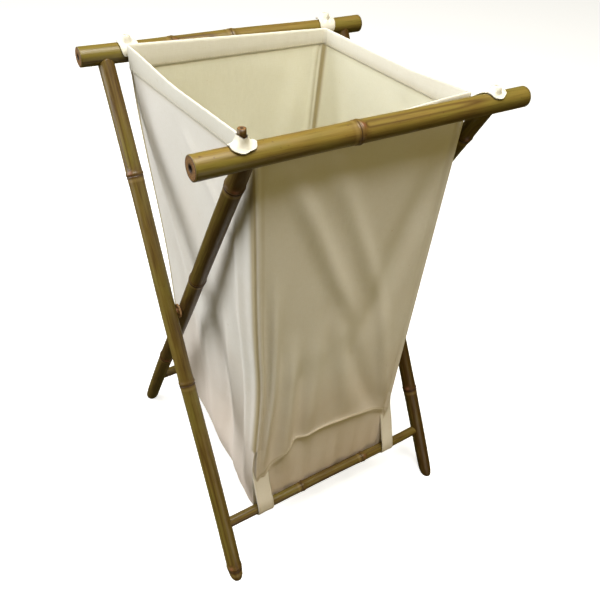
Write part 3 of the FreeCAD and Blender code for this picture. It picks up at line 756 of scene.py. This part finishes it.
# %% The pouch
def pouch():
    """Three bands of rows: hanging, a quarter turn of 26 mm, and a floor running in to the middle."""
    corner = 0.026
    z = np.linspace(LOW, FLOOR + corner, 22)[:, None]
    base, _ = loft(z)
    drop = smooth(-z, -LOW, -0.07)
    front = np.clip(-facing[0][:, 1], 0, 1)[None]
    rear = np.clip(facing[0][:, 1], 0, 1)[None]
    nx, ny = facing[0][:, 0][None], facing[0][:, 1][None]
    end_side = (column_side % 2 == 0)[None]
    below = smooth(-z, -LOW, -0.15)
    depth = base[..., 1]
    belly = 0.016 * below * hump(z, 0.095, 0.05) * hump(depth, -0.045, 0.085) * (nx < -0.5)
    belly = belly + 0.008 * below * hump(z, 0.10, 0.06) * hump(depth, 0.0, 0.09) * (nx > 0.5)
    x_run = np.abs(base[..., 0]) / 0.11
    slack = 0.0012 * np.sin(base[..., 0] * 120 + z * 20) + 0.0012 * np.sin(base[..., 0] * 210 - z * 8)
    tuck = 0.0030 * np.where(end_side, 1, smooth(-z, -LOW, -0.16))
    front_in = front * (tuck - 0.0025 * drop - slack * drop * (x_run < 1.2))
    rear_step = np.interp(z, [0.062, 0.112, 0.147, 0.19], [0.039, 0.030, 0.004, 0.003])
    rear_in = rear * np.where(end_side, rear_step, rear_step - 0.003)
    out = belly - 0.004 * drop * (np.abs(nx) > 0.5)
    hang = base.copy()
    hang[..., 0] += nx * out
    hang[..., 1] += -ny * (front_in + rear_in)
    rear_limit = np.interp(z, [0.062, 0.112, 0.147], [0.106, 0.118, 0.150])
    hang[..., 1] = np.minimum(hang[..., 1], rear_limit)
    last = hang[-1]
    centre = np.array([-0.004, -0.012])
    inward = centre - last[:, :2]
    inward = inward / np.linalg.norm(inward, axis=1, keepdims=True)
    angle = np.linspace(0, math.pi / 2, 9)[1:, None, None]
    round_xy = last[None, :, :2] + inward * corner * (1 - np.cos(angle))
    lift = 0.006 * smooth(last[:, 1], 0.02, 0.11) + 0.004 * smooth(last[:, 0], 0.0, 0.10)
    round_z = FLOOR + lift[None, :, None] * np.sin(angle) + corner * (1 - np.sin(angle)) + 0 * inward[:, :1]
    under = np.concatenate([round_xy, round_z], -1)
    t = np.linspace(0, 1, 17)[1:-1, None, None]
    edge = under[-1]
    flat_xy = edge[None, :, :2] * (1 - t) + centre * t
    wave = 0.0022 * np.sin(flat_xy[..., 0] * 60 + 1) * np.sin(flat_xy[..., 1] * 45)
    wave = wave * np.sin(math.pi * t[..., 0])
    lowest = FLOOR - 0.002
    flat_z = edge[None, :, 2] * (1 - t[..., 0]) + lowest * t[..., 0] + wave
    floor = np.concatenate([flat_xy, flat_z[..., None]], -1)
    return np.concatenate([hang, under, floor]), np.array([*centre, lowest])


pouch_rows, pouch_tip = pouch()
print("pouch", pouch_rows.shape, "lowest", round(float(pouch_rows[..., 2].min()), 4))

# %% [markdown]
# Cloth has two faces and a cut edge. A Solidify modifier would give it a wall, but the parts of the
# bag have to share their edges exactly, so each part is thickened here from normals that were worked
# out on the whole bag, before it was cut. The same normals shade it, so no cut shows.

# %% Cloth with two faces
def grid_normals(points):
    """Down the rows crossed with along the columns, which close round the bag, at unit length."""
    along = np.roll(points, -1, 1) - np.roll(points, 1, 1)
    down = np.gradient(points, axis=0)
    normal = np.cross(down, along)
    return normal / np.maximum(np.linalg.norm(normal, axis=-1, keepdims=True), 1e-12)


def open_edges(faces):
    """Directed edges that only one face uses."""
    ends = [np.stack([part, np.roll(part, -1, 1)], -1).reshape(-1, 2) for part in faces]
    ends = np.concatenate(ends)
    key, back = ends[:, 0] * 10**6 + ends[:, 1], ends[:, 1] * 10**6 + ends[:, 0]
    return ends[~np.isin(key, back)]


def cloth_piece(name, points, normals, faces, flat, seam=None, finish=None, thick=CLOTH):
    """Outer face, inner face thick behind it, and a rim along every open edge."""
    used = np.unique(np.concatenate([part.ravel() for part in faces]))
    small = np.full(len(points), -1)
    small[used] = np.arange(len(used))
    faces = [small[part] for part in faces if len(part)]
    count, edges = len(used), open_edges(faces)
    rim = np.stack([edges[:, 1], edges[:, 0], edges[:, 0] + count, edges[:, 1] + count], -1)
    inner = [part[:, ::-1] + count for part in faces]
    p, n = points[used], normals[used]
    marks = {"seam": np.tile(np.zeros(count) if seam is None else seam[used], 2)}
    both = np.concatenate([p, p - thick * n])
    shown = np.concatenate([n, -n])
    skins = (OUTSIDE, INSIDE_BOUNCE_TINT) if finish is None else (finish, finish)
    made = piece(name, both, faces + inner + [rim], skins[0], marks, np.tile(flat[used], (2, 1)), shown)
    made.data.materials.append(skins[1])
    outside = sum(len(part) for part in faces)
    index = np.zeros(len(made.data.polygons), np.int32)
    index[outside : 2 * outside] = 1
    made.data.polygons.foreach_set("material_index", index)
    return made


def area_of(points, faces):
    """Half the length of the cross product of each triangle's sides, over all faces."""
    total = 0.0
    for part in faces:
        for k in range(1, part.shape[1] - 1):
            a, b, c = points[part[:, 0]], points[part[:, k]], points[part[:, k + 1]]
            total += np.linalg.norm(np.cross(b - a, c - a), axis=1).sum() / 2
    return float(total)


# %% [markdown]
# The rim of the real bag is not level: it rises at the front right, where the cloth rides up behind
# the rail, and climbs along the rear hem towards the left.

# %% The rim's rise and dip
def rim_lift(points):
    """Adds the rise, in proportion to the height above the hem's lower edge."""
    x, y, z = points[..., 0], points[..., 1], points[..., 2]
    up_share = np.clip((z - HEM) / (TOP - HEM), 0, 1.2)
    rise = 0.0065 * smooth(x, 0.0, 0.14) * smooth(-y, 0.03, 0.145)
    climb = (0.0045 - 0.032 * x) * smooth(y, 0.0, 0.146)
    points[..., 2] = z + up_share * (rise + climb)
    return points


wall = rim_lift(wall)
columns = len(column_side)
joined = np.concatenate([wall, pouch_rows[1:]])
joined_normals = grid_normals(joined)
wall_normals, pouch_normals = grid_normals(wall), grid_normals(pouch_rows)
on_side = (np.abs(facing[0][:, 0]) > 0.3)[None, :, None]
wall_normals = np.where(on_side, joined_normals[: len(wall)], wall_normals)
pouch_normals = np.where(on_side, joined_normals[len(wall) - 1 :], pouch_normals)
print("normals ready for", joined.shape[0] * columns, "points")

# %% [markdown]
# Now the cuts. A square of the side's grid belongs to the front part, the rear part, the top triangle
# or the bottom triangle, as its column and level say. The squares on a diagonal are halved along it.

# %% Cutting the side panels along their diagonals
def side_parts(first_column, reverse):
    """Faces of one side panel, as a dict of part name to (quads, triangles)."""
    cells = STEPS - 1
    row, j = np.meshgrid(np.arange(cells), np.arange(cells), indexing="ij")
    k = cells - 1 - row
    left = first_column + j
    upper = (row + 5) * columns
    lower = upper + columns
    corners = np.stack([upper + left, lower + left, lower + left + 1, upper + left + 1], -1)
    a = cells - 1 - j if reverse else j
    parts = {
        "top": (k > a) & (a + k > cells - 1),
        "front": (k > a) & (a + k < cells - 1),
        "bottom": (k < a) & (a + k < cells - 1),
        "rear": (k < a) & (a + k > cells - 1),
    }
    found = {name: [corners[mask], np.zeros((0, 3), int)] for name, mask in parts.items()}
    near = [2, 1, 0, 3] if reverse else [1, 2, 3, 0]
    rising, falling = a == k, a + k == cells - 1
    # a square's corners by a and b: low-low, high-low, high-high, low-high
    ll, hl, hh, lh = (corners[..., near[i]] for i in range(4))

    def halves(mask, one, other, first, second):
        for name, (p, q, r) in ((one, first), (other, second)):
            order = [p, r, q] if reverse else [p, q, r]
            found[name][1] = np.concatenate([found[name][1], np.stack([c[mask] for c in order], -1)])

    low_half = a + k < cells - 1
    halves(rising & low_half, "front", "bottom", (ll, hh, lh), (ll, hl, hh))
    halves(rising & ~low_half, "top", "rear", (ll, hh, lh), (ll, hl, hh))
    halves(falling & (k > a), "top", "front", (lh, hl, hh), (lh, ll, hl))
    halves(falling & (k < a), "rear", "bottom", (lh, hl, hh), (lh, ll, hl))
    return found


FIRST = {"front": 0, "right": STEPS + 3, "rear": 2 * (STEPS + 3), "left": 3 * (STEPS + 3)}
right_parts = side_parts(FIRST["right"], reverse=False)
left_parts = side_parts(FIRST["left"], reverse=True)
print({name: len(quads) for name, (quads, _) in right_parts.items()})

# %% [markdown]
# The front and rear parts take their own panel, the rounded corners beside it and the triangles of
# the two sides. The floor part takes the bottom triangles and the whole pouch.

# %% Flat cloth coordinates and the parts' faces
wall_faces = grid_faces(len(wall), columns, around=True)[:, ::-1].reshape(len(wall) - 1, columns, 4)
pouch_faces = grid_faces(len(pouch_rows), columns, around=True)[:, ::-1] + len(wall) * columns
middle_row = wall[len(wall) // 2]
steps_round = np.linalg.norm(np.diff(middle_row, axis=0, append=middle_row[:1]), axis=1)
round_bag = np.concatenate([[0], np.cumsum(steps_round)[:-1]])
flat_wall = together(round_bag[None], TOP - wall[..., 2])
run_down = np.cumsum(np.linalg.norm(np.diff(pouch_rows, axis=0), axis=2), 0)
flat_pouch = together(round_bag[None], TOP - LOW + np.r_[run_down[:1] * 0, run_down])
FLOOR_ROW = 30  # from here inwards the pouch lies flat, so x and y are its cloth coordinates
flat_pouch[FLOOR_ROW:] = pouch_rows[FLOOR_ROW:, :, :2]
POINTS = np.concatenate([wall.reshape(-1, 3), pouch_rows.reshape(-1, 3), pouch_tip[None]])
NORMALS = np.concatenate([wall_normals.reshape(-1, 3), pouch_normals.reshape(-1, 3), [[0, 0, -1]]])
FLAT = np.concatenate([flat_wall.reshape(-1, 2), flat_pouch.reshape(-1, 2), pouch_tip[None, :2]])
edge_share = np.minimum(column_share, 1 - column_share)
end_panel = column_side % 2 == 0
# Along each corner the seam mark is painted shade: on the side panels in the corner's groove, on the front
# and rear panels beside the piping ridge. The hem line darkens the cloth along the hem's lower edge.
corner_seam_shade = np.where(end_panel, hump(edge_share, 0.028, 0.007) * 0.5, hump(edge_share, 0.0, 0.012) * 1.5)
hem_line = hump(levels, 0.6315, 0.0022)
SEAM = np.maximum(corner_seam_shade[None], hem_line[:, None]).ravel()
SEAM = np.concatenate([SEAM, np.zeros(len(POINTS) - len(SEAM))])


def end_faces(panel):
    """The end panel's columns with the corner before it and the corner after it."""
    start = FIRST[panel] - 4
    picked = np.arange(start, start + STEPS + 7) % columns
    return wall_faces[:, picked].reshape(-1, 4)


def gather(panel):
    quads = [end_faces(panel), right_parts[panel][0], left_parts[panel][0]]
    return [np.concatenate(quads), np.concatenate([right_parts[panel][1], left_parts[panel][1]])]


def top_faces(parts, side):
    start = FIRST[side]
    band = wall_faces[:5, start : start + STEPS - 1].reshape(-1, 4)
    return [np.concatenate([band, parts["top"][0]]), parts["top"][1]]


def floor_faces():
    """The pouch's first row is the wall's last one where they are the same cloth."""
    tip = len(POINTS) - 1
    last_ring = len(wall) * columns + (len(pouch_rows) - 1) * columns + np.arange(columns)
    quads = pouch_faces.copy()
    shared = np.arange(columns)[~end_panel]
    swap = np.arange(len(POINTS))
    swap[len(wall) * columns + shared] = (len(wall) - 1) * columns + shared
    quads = swap[quads]
    bottoms = [right_parts["bottom"], left_parts["bottom"]]
    triangles = [part[1] for part in bottoms] + [fan(last_ring, tip, flip=True)]
    return [np.concatenate([quads] + [part[0] for part in bottoms]), np.concatenate(triangles)]


print("front part has", len(gather("front")[0]), "quads")

# %% [markdown]
# The front panel ends in its own turned-up edge, lower at the left strap and arched between the two,
# and overlaps the pouch like an apron. The rear panel ends the same way, level with its straps.

# %% The panels' lower edges
EDGE_THICK = 0.0018


def lower_edge(panel):
    """Rows from LOW down to the edge line, for one end panel's straight columns."""
    x = np.array([-0.125, -0.108, -0.092, -0.078, -0.060, -0.020, 0.030, 0.085, 0.110, 0.125])
    edge = np.array([0.116, 0.120, 0.136, 0.158, 0.178, 0.180, 0.176, 0.160, 0.146, 0.142])
    run = (2 * column_share - 1) * 0.112
    bottom = np.interp(run, x, edge) if panel == "front" else 0.146 + 0.010 * (1 - (run / 0.112) ** 2)
    t = np.linspace(0, 1, 17)[:, None]
    z = LOW - t * (LOW - bottom[None])
    points, _ = loft(z)
    flare = 0.0022 * t**2 * np.sin(math.pi * column_share[None]) + 0.0006 * hump(t, 0.86, 0.06)
    points[..., 1] += flare * (-1 if panel == "front" else 1)
    normals = grid_normals(points)
    start = FIRST[panel]
    keep = slice(start, start + STEPS)
    flat = together(round_bag[None], TOP - points[..., 2])
    seam = np.broadcast_to(hump(t, 0.82, 0.05) * 0.8, points.shape[:2])
    points, normals, flat, seam = (part[:, keep] for part in (points, normals, flat, seam))
    faces = grid_faces(len(t), STEPS)[:, ::-1]
    name = f"bag_{panel}_lower_edge"
    corners, facings = points.reshape(-1, 3), normals.reshape(-1, 3)
    made = cloth_piece(name, corners, facings, [faces], flat.reshape(-1, 2), seam.ravel(), thick=EDGE_THICK)
    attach(made, "outer_frame" if panel == "front" else "inner_frame")
    area_of(points.reshape(-1, 3), [faces])
    return points


front_edge, rear_edge = lower_edge("front"), lower_edge("rear")
print("front edge drops to", round(float(front_edge[-1, :, 2].min()), 3))

# %% [markdown]
# The cuts done, each part is made as cloth with two faces, in place of the imported panel it stands
# for, which is hidden.


def bag_part(name, faces, nodes):
    made = cloth_piece(name, POINTS, NORMALS, faces, FLAT, SEAM)
    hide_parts(*nodes)
    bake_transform(made)
    area_of(POINTS, faces)
    return made


left_top, right_top = top_faces(left_parts, "left"), top_faces(right_parts, "right")
bag_part("bag_front", gather("front"), ["bag_front_panel"])
bag_part("bag_rear", gather("rear"), ["bag_rear_panel"])
bag_part("bag_left", left_top, ["bag_left_panel"])
bag_part("bag_right", right_top, ["bag_right_panel"])
bag_part("bag_pouch", floor_faces(), ["bag_floor"])
print("bag parts made")

# %% [markdown]
# The hem is the rim turned inwards twice and stitched: a flat, stiff band, almost flush outside and
# proud of the cloth inside. It is a closed section carried round the rim, one piece to a side.

# %% Hems
# (out from the cloth, height), from the outer lower edge over the top to the inner lower edge
SECTION = np.array([
    (0.0002, 0.6318), (0.0005, 0.6335), (0.0005, 0.6420), (0.0006, 0.6515),
    (0.0004, 0.6535), (-0.0002, 0.6542), (-0.0012, 0.6541), (-0.0020, 0.6530),
    (-0.0023, 0.6508), (-0.0021, 0.6420), (-0.0023, 0.6338), (-0.0017, 0.6316),
])
around = len(SECTION)
band, _ = loft(SECTION[:, 1][:, None], -SECTION[:, 0][:, None])
puckers = 0.0004 * np.sin(np.arange(columns) * 1.9) * np.sin(np.arange(columns) * 0.37)
band[..., :2] += facing[0][None] * puckers[None, :, None]
band = rim_lift(band)
HEM_BODY = {"front": "inner_frame", "rear": "outer_frame"}


def hem_columns(panel):
    """The panel's columns, and at the two ends also those of the corners beside it."""
    corners = 4 if panel in HEM_BODY else 0
    return np.arange(FIRST[panel] - corners, FIRST[panel] + STEPS + corners) % columns


def hem(panel):
    picked = hem_columns(panel)
    ring = band[:, picked].transpose(1, 0, 2)
    points = ring.reshape(-1, 3)
    faces = tube_faces(len(picked), around)
    centres = ring[[0, -1]].mean(1)
    points = np.concatenate([points, centres])
    length = run_along(ring[:, 0])
    flat = together(length[:, None], run_along(SECTION)[None]).reshape(-1, 2)
    flat = np.concatenate([flat, flat[:2]])
    seam = hump(np.tile(SECTION[:, 1], len(picked)), 0.6345, 0.0010) * 0.6
    made = piece(f"bag_{panel}_hem_band", points, faces, TAPE, {"seam": np.r_[seam, 0, 0]}, flat)
    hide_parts(f"bag_{panel}_hem")
    if panel in HEM_BODY:
        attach(made, HEM_BODY[panel])
    else:
        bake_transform(made)
    return ring


rings = {panel: hem(panel) for panel in FIRST}
print("hems made,", {panel: len(ring) for panel, ring in rings.items()})

# %% [markdown]
# A strap is a doubled strip of canvas sewn to the bag's lower corner, led down round the crossbar and
# up behind. It is a flat section carried along a smooth path, which leans in where it meets the bag.

# %% Smooth paths and strips
def path_through(points, count):
    """Catmull-Rom: between two points, a cubic whose slope at each is half the chord of its
    neighbours; the stations are then spread evenly by length."""
    p = np.asarray(points, float)
    p = np.concatenate([[2 * p[0] - p[1]], p, [2 * p[-1] - p[-2]]])
    t = np.linspace(0, len(p) - 3 - 1e-9, 400)
    i = t.astype(int)
    f = (t - i)[:, None]
    a, b, c, d = p[i], p[i + 1], p[i + 2], p[i + 3]
    fine = 0.5 * (2 * b + (c - a) * f + (2 * a - 5 * b + 4 * c - d) * f**2 + (3 * b - a - 3 * c + d) * f**3)
    run = run_along(fine)
    even = np.linspace(0, run[-1], count)
    return sample(fine, run, even), even


def strip(name, path, centre_x, width, thick, seed):
    """A rounded flat section across X, carried along a (y, z) path; its edges curl a little."""
    line, run = path_through(path, 64)
    slope = np.gradient(line, axis=0)
    slope = slope / np.linalg.norm(slope, axis=1, keepdims=True)
    out = np.stack([-slope[:, 1], slope[:, 0]], -1)
    across = np.linspace(-1, 1, 19)
    lip = np.sqrt(np.clip(1 - np.abs(across) ** 14, 0, 1))
    top = np.stack([across, lip * 0.5], -1)
    section = np.concatenate([top, (top * [1, -1])[::-1][1:-1]])
    rng = np.random.default_rng(seed)
    curl = 0.0006 * np.sin(run * rng.uniform(60, 110) + seed)[:, None] * section[None, :, 0] ** 2
    x = centre_x + section[None, :, 0] * width / 2 + 0.0006 * np.sin(run * 50 + seed)[:, None]
    off = section[None, :, 1] * thick + curl
    y, z = line[:, :1] + out[:, :1] * off, line[:, 1:] + out[:, 1:] * off
    points = np.stack([x, y, z], -1)
    count = len(section)
    faces = tube_faces(len(run), count)
    # the section's order follows the turn from slope to out, which sets the way the faces look
    if np.cross(slope[0], out[0]) > 0:
        faces = [part[:, ::-1] for part in faces]
    flat = together(section[None, :, 0] * width / 2, run[:, None]).reshape(-1, 2)
    edge = np.exp(-(((np.abs(section[None, :, 0]) - 0.82) / 0.05) ** 2)) * 0.5
    seam = np.broadcast_to(edge, points.shape[:2]).ravel()
    tips = np.stack([points[0].mean(0), points[-1].mean(0)])
    made = piece(
        name,
        np.concatenate([points.reshape(-1, 3), tips]),
        faces,
        TAPE,
        {"seam": np.r_[seam, 0, 0]},
        np.concatenate([flat, flat[:2]]),
    )
    return made, float(run[-1])


print("a strip's path is", path_through([(0, 0), (0, 0.1)], 3)[0].tolist())

# %% [markdown]
# The front straps leave from behind the panel's lower corners and stand forward of the bag, since the
# front crossbar lies in front of it. The rear ones drop almost straight to a bar just under the bag.
# Their paths are given as a few points, because sewing and pull, not weight, set their line.

# %% Bottom straps
def loop_path(bar_y, bar_z, face, front):
    """Down the bag's face, round the bar, and up behind it; face is -1 at the front, 1 at the rear."""
    r = BAR_RADIUS + 0.0012
    arc = np.radians(np.linspace(15, -195, 8))
    around_bar = [(bar_y + face * r * math.cos(a), bar_z + r * math.sin(a)) for a in arc]
    if front:
        start = [(-0.1370, 0.188), (-0.1385, 0.164), (-0.1430, 0.140), (-0.1510, 0.112), (-0.1595, 0.088)]
        return start + around_bar + [(-0.1462, 0.092), (-0.1440, 0.112), (-0.1436, 0.132)]
    start = [(0.1450, 0.182), (0.1456, 0.164), (0.1468, 0.146), (0.1466, 0.124)]
    return start + around_bar + [(0.1296, 0.116), (0.1330, 0.130), (0.1400, 0.142)]


def bottom_strap(word, side, centre_x, width):
    bar = middle(f"{word}_crossbar")
    path = loop_path(bar[1], bar[2], -1 if word == "front" else 1, word == "front")
    name = sided(f"{word}_strap", side)
    made, length = strip(name + "_tape", path, centre_x, width, 0.0017, 3 + side)
    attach(made, BODY_OF[name])
    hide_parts(name)


bottom_strap("front", -1, -0.1165, 0.026)
bottom_strap("front", 1, 0.1100, 0.022)
bottom_strap("rear", -1, -0.1130, 0.026)
bottom_strap("rear", 1, 0.1130, 0.026)
print("straps looped")

# %% [markdown]
# A tab is a tongue of the bag's corner laid over the rail and buttoned on a peg. Round the peg the
# cloth stands up in a collar, so the tab is worked out in rings about the peg: each ring is a rounder
# or squarer outline on the rail's skin, lifted more the nearer it is to the peg. Where a peg is
# short, the collar closes over it and leaves only the slit of the buttonhole.

# %% Tabs round the pegs
def corner_tab(word, side, shown, skew, half_width, seed, peak=0.0068):
    node = sided(f"{word}_tab", side)
    peg = middle(sided(f"{word}_peg", side))
    face = -1 if word == "front" else 1
    turn = turns(72)
    ring = (np.linspace(0, 1, 26) ** 1.25)[:, None]
    hole = np.stack([np.cos(turn), np.sin(turn)], -1) * ((0.0049, 0.0049) if shown else (0.0032, 0.0008))
    square = np.where(np.sin(turn) > 0, 2.3, 4.5)
    radius = (np.abs(np.cos(turn)) ** square + np.abs(np.sin(turn)) ** square) ** (-1 / square)
    reach = np.where(np.sin(turn) > 0, 0.0125, 0.0250)
    wobble = 1 + 0.04 * np.sin(3 * turn + seed) + 0.025 * np.sin(7 * turn + 2 * seed)
    outline = np.stack([radius * np.cos(turn) * half_width, radius * np.sin(turn) * reach], -1)
    flat = hole * (1 - ring[..., None]) + outline * wobble[..., None] * ring[..., None]
    along, over = flat[..., 0], flat[..., 1]
    away = np.hypot(along, over)
    if shown:
        lift = 0.0088 * np.exp(-np.clip(away - 0.0049, 0, 1) / 0.0024)
    else:
        lift = peak * (1 - smooth(away, 0.0036, 0.0085))
    pleat = 0.0007 * np.sin(5 * turn + seed) * hump(away, 0.0085, 0.0035)
    rim_curl = 0.0010 * smooth(ring, 0.85, 1.0) * (over > 0)
    around_rail = RAIL_RADIUS + 0.0018 + lift + pleat + rim_curl
    angle = over / (RAIL_RADIUS + 0.0018)
    x = peg[0] + along - side * skew * smooth(-over, 0.002, 0.022)
    y = face * (RAIL_Y + around_rail * np.sin(angle))
    points = np.stack([x, y, RAIL_Z + around_rail * np.cos(angle)], -1)
    normals = grid_normals(points)
    skyward = np.sign((normals[..., 2] * np.cos(angle)).mean())
    normals = normals * skyward
    faces = grid_faces(len(ring), turn.shape[1], around=True)
    faces = faces[:, ::-1] if skyward > 0 else faces
    stitched = hump(ring, 0.88, 0.04) * 0.5 + hump(ring, 0.10, 0.10) * 0.4
    seam = np.broadcast_to(stitched, along.shape).ravel()
    points, normals, flat = points.reshape(-1, 3), normals.reshape(-1, 3), flat.reshape(-1, 2)
    made = cloth_piece(node + "_cloth", points, normals, [faces], flat, seam, TAPE)
    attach(made, BODY_OF[node])
    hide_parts(node)
    cut = area_of(points, [faces])


corner_tab("front", -1, True, 0.012, 0.0135, 1)
corner_tab("front", 1, False, 0.012, 0.0125, 2)
corner_tab("rear", -1, False, 0.002, 0.0120, 3)
corner_tab("rear", 1, False, 0.002, 0.0125, 4)
print("tabs buttoned")

# %% [markdown]
# The pegs are short lengths of thin bamboo glued upright into the rails. They use the pole's own
# surface, with a sawn end that shows its dark skin and its pith hole, the hole's inside painted dark
# as shade.

# %% Pegs
def twig(word, side, seed):
    node = sided(f"{word}_peg", side)
    low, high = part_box(node)
    tall = high[2] - low[2]
    ends = (lambda y: 0.0 * y, lambda y: tall + 0.0 * y)
    place = (*middle(node)[:2], low[2])
    axes = [(1, 0, 0), (0, 1, 0), (0, 0, 1)]
    culm(node + "_twig", node, 0.0045, (-0.05,), ends, place, axes, seed, 0.95, 0.5, 0.0)


for seed, (word, side) in enumerate((("front", -1), ("front", 1), ("rear", -1), ("rear", 1))):
    twig(word, side, 30 + seed)
print("pegs set")

# %% [markdown]
# Stitches catch the light as a row of small beads. Each is a bulging six-sided spindle of a few dozen
# faces, laid along its seam a little proud of the cloth.

# %% Stitches
THREAD = Paint("thread")
twist = THREAD.noise(THREAD.node("ShaderNodeTexCoord", output="Object"), 1500, 2)
thread_shade = THREAD.mix(twist, paint(222, 214, 190), paint(190, 178, 146))
THREAD = THREAD.set(Base_Color=thread_shade, Roughness=0.7 + twist * 0.1)


def stitches(name, line, out, pitch, long, body=None, radius=0.00032):
    """One spindle every pitch along a line of points; out is the way the cloth faces there."""
    run = run_along(line)
    at = np.arange(pitch, run[-1] - pitch, pitch)
    centre, face = sample(line, run, at), sample(out, run, at)
    ahead = sample(line, run, at + 0.001) - centre
    ahead = ahead / np.linalg.norm(ahead, axis=1, keepdims=True)
    face = face / np.linalg.norm(face, axis=1, keepdims=True)
    side = np.cross(face, ahead)
    t = np.linspace(-1, 1, 5)[:, None]
    turn = np.arange(6) * math.pi / 3
    girth = radius * np.sqrt(1 - 0.93 * t**2)
    ring = together(t * long / 2, girth * np.cos(turn), girth * np.sin(turn)).reshape(-1, 3)
    bead = centre[:, None] + ring[None, :, :1] * ahead[:, None] + ring[None, :, 1:2] * side[:, None]
    bead = bead + ring[None, :, 2:] * face[:, None]
    faces = grid_faces(5, 6, around=True)
    ends = np.array([[5, 4, 3, 2, 1, 0], [24, 25, 26, 27, 28, 29]])
    step = (np.arange(len(at)) * 30)[:, None, None]
    faces = [(faces + step).reshape(-1, 4), (ends + step).reshape(-1, 6)]
    made = piece(name, bead.reshape(-1, 3), faces, THREAD)
    if body:
        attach(made, body)
    return made


def hem_stitches(panel, where, height, face):
    """A row along the hem's outer (face 1) or inner (face -1) skin."""
    ring = rings[panel]
    line = ring[:, where].copy()
    line[:, 2] += height
    picked = hem_columns(panel)
    out = np.concatenate([facing[0][picked] * face, np.zeros((len(picked), 1))], 1)
    name = f"bag_{panel}_hem_stitch_{'out' if face > 0 else 'in'}"
    made = stitches(name, line + out * 0.00015, out, 0.0042, 0.0030, HEM_BODY.get(panel))
    if panel not in HEM_BODY:
        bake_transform(made)


for panel in FIRST:
    hem_stitches(panel, 1, 0.0012, 1)
    hem_stitches(panel, 10, 0.0012, -1)
for panel, edge in (("front", front_edge), ("rear", rear_edge)):
    face = -1 if panel == "front" else 1
    out = np.tile([0.0, face, 0.0], (STEPS, 1))
    body = "outer_frame" if panel == "front" else "inner_frame"
    stitches(f"bag_{panel}_edge_stitch", edge[-3] + out * 0.0002, out, 0.0042, 0.0030, body)
print("stitches sewn")

# %% [markdown]
# The hamper stands on a plain pale floor that turns up into a wall far behind it. A large window light
# from the left and a little behind brightens the bag's left side, a ceiling light falls into its open
# top, and two weak lights at the front keep the shaded panel warm and lift the pouch under it.

# %% Floor and light
def room():
    """A profile turned about Z: flat ground, a quarter turn of 2 m, and a wall too high to see over."""
    reach, bend_radius, wall_top, sectors = 8, 2, 10.0, 96
    bend = np.linspace(0, math.pi / 2, 9)
    radius = [0.5, 4.0, *(reach + bend_radius * np.sin(bend)), reach + bend_radius]
    height = [0.0, 0.0, *(bend_radius - bend_radius * np.cos(bend)), wall_top]
    radius, height = np.array(radius)[:, None], np.array(height)[:, None]
    turn = turns(sectors)
    points = together(radius * np.cos(turn), radius * np.sin(turn), height)
    ground = grid_faces(len(radius), sectors, around=True)[:, ::-1]
    faces = [ground, fan(np.arange(sectors), points[..., 0].size)]
    points = np.concatenate([points.reshape(-1, 3), [[0, 0, 0]]])
    pale, white = (0.86, 0.86, 0.86, 1), (1, 1, 1, 1)
    finish = Paint("floor").set(
        Base_Color=pale, Roughness=0.8, Emission_Color=white, Emission_Strength=0.75
    )
    floor = piece("floor", points, faces, finish)
    floor.visible_diffuse = False
    floor.visible_glossy = False


def lamp(name, place, aim, size, power, tint=(1, 1, 1)):
    """A square soft light at place, turned to aim."""
    light = bpy.data.lights.new(name, "AREA")
    light.size, light.energy, light.color = size, power, tint
    made = bpy.data.objects.new(name, light)
    made.location = place
    made.rotation_euler = (Vector(aim) - Vector(place)).to_track_quat("-Z", "Y").to_euler()
    bpy.context.collection.objects.link(made)


room()
lamp("window", (-2.2, 0.95, 1.35), (0, 0, 0.45), 2.2, 74, (0.92, 0.95, 1.0))
lamp("ceiling", (-0.1, -0.45, 2.4), (0, 0, 0.4), 1.2, 62, (1.0, 0.98, 0.92))
lamp("fill", (0.6, -2.3, 1.0), (0, 0, 0.3), 1.6, 5, (1.0, 0.72, 0.10))
lamp("bounce", (0.05, -1.0, 0.03), (0, -0.14, 0.08), 0.5, 1.1, (1.0, 0.93, 0.84))
world = bpy.data.worlds.new("studio")
world.use_nodes = True
world.node_tree.nodes["Background"].inputs[0].default_value = (1.0, 0.82, 0.22, 1)
world.node_tree.nodes["Background"].inputs[1].default_value = 0.10
bpy.context.scene.world = world
bpy.context.scene.view_settings.view_transform = "Standard"
print("lights are on")
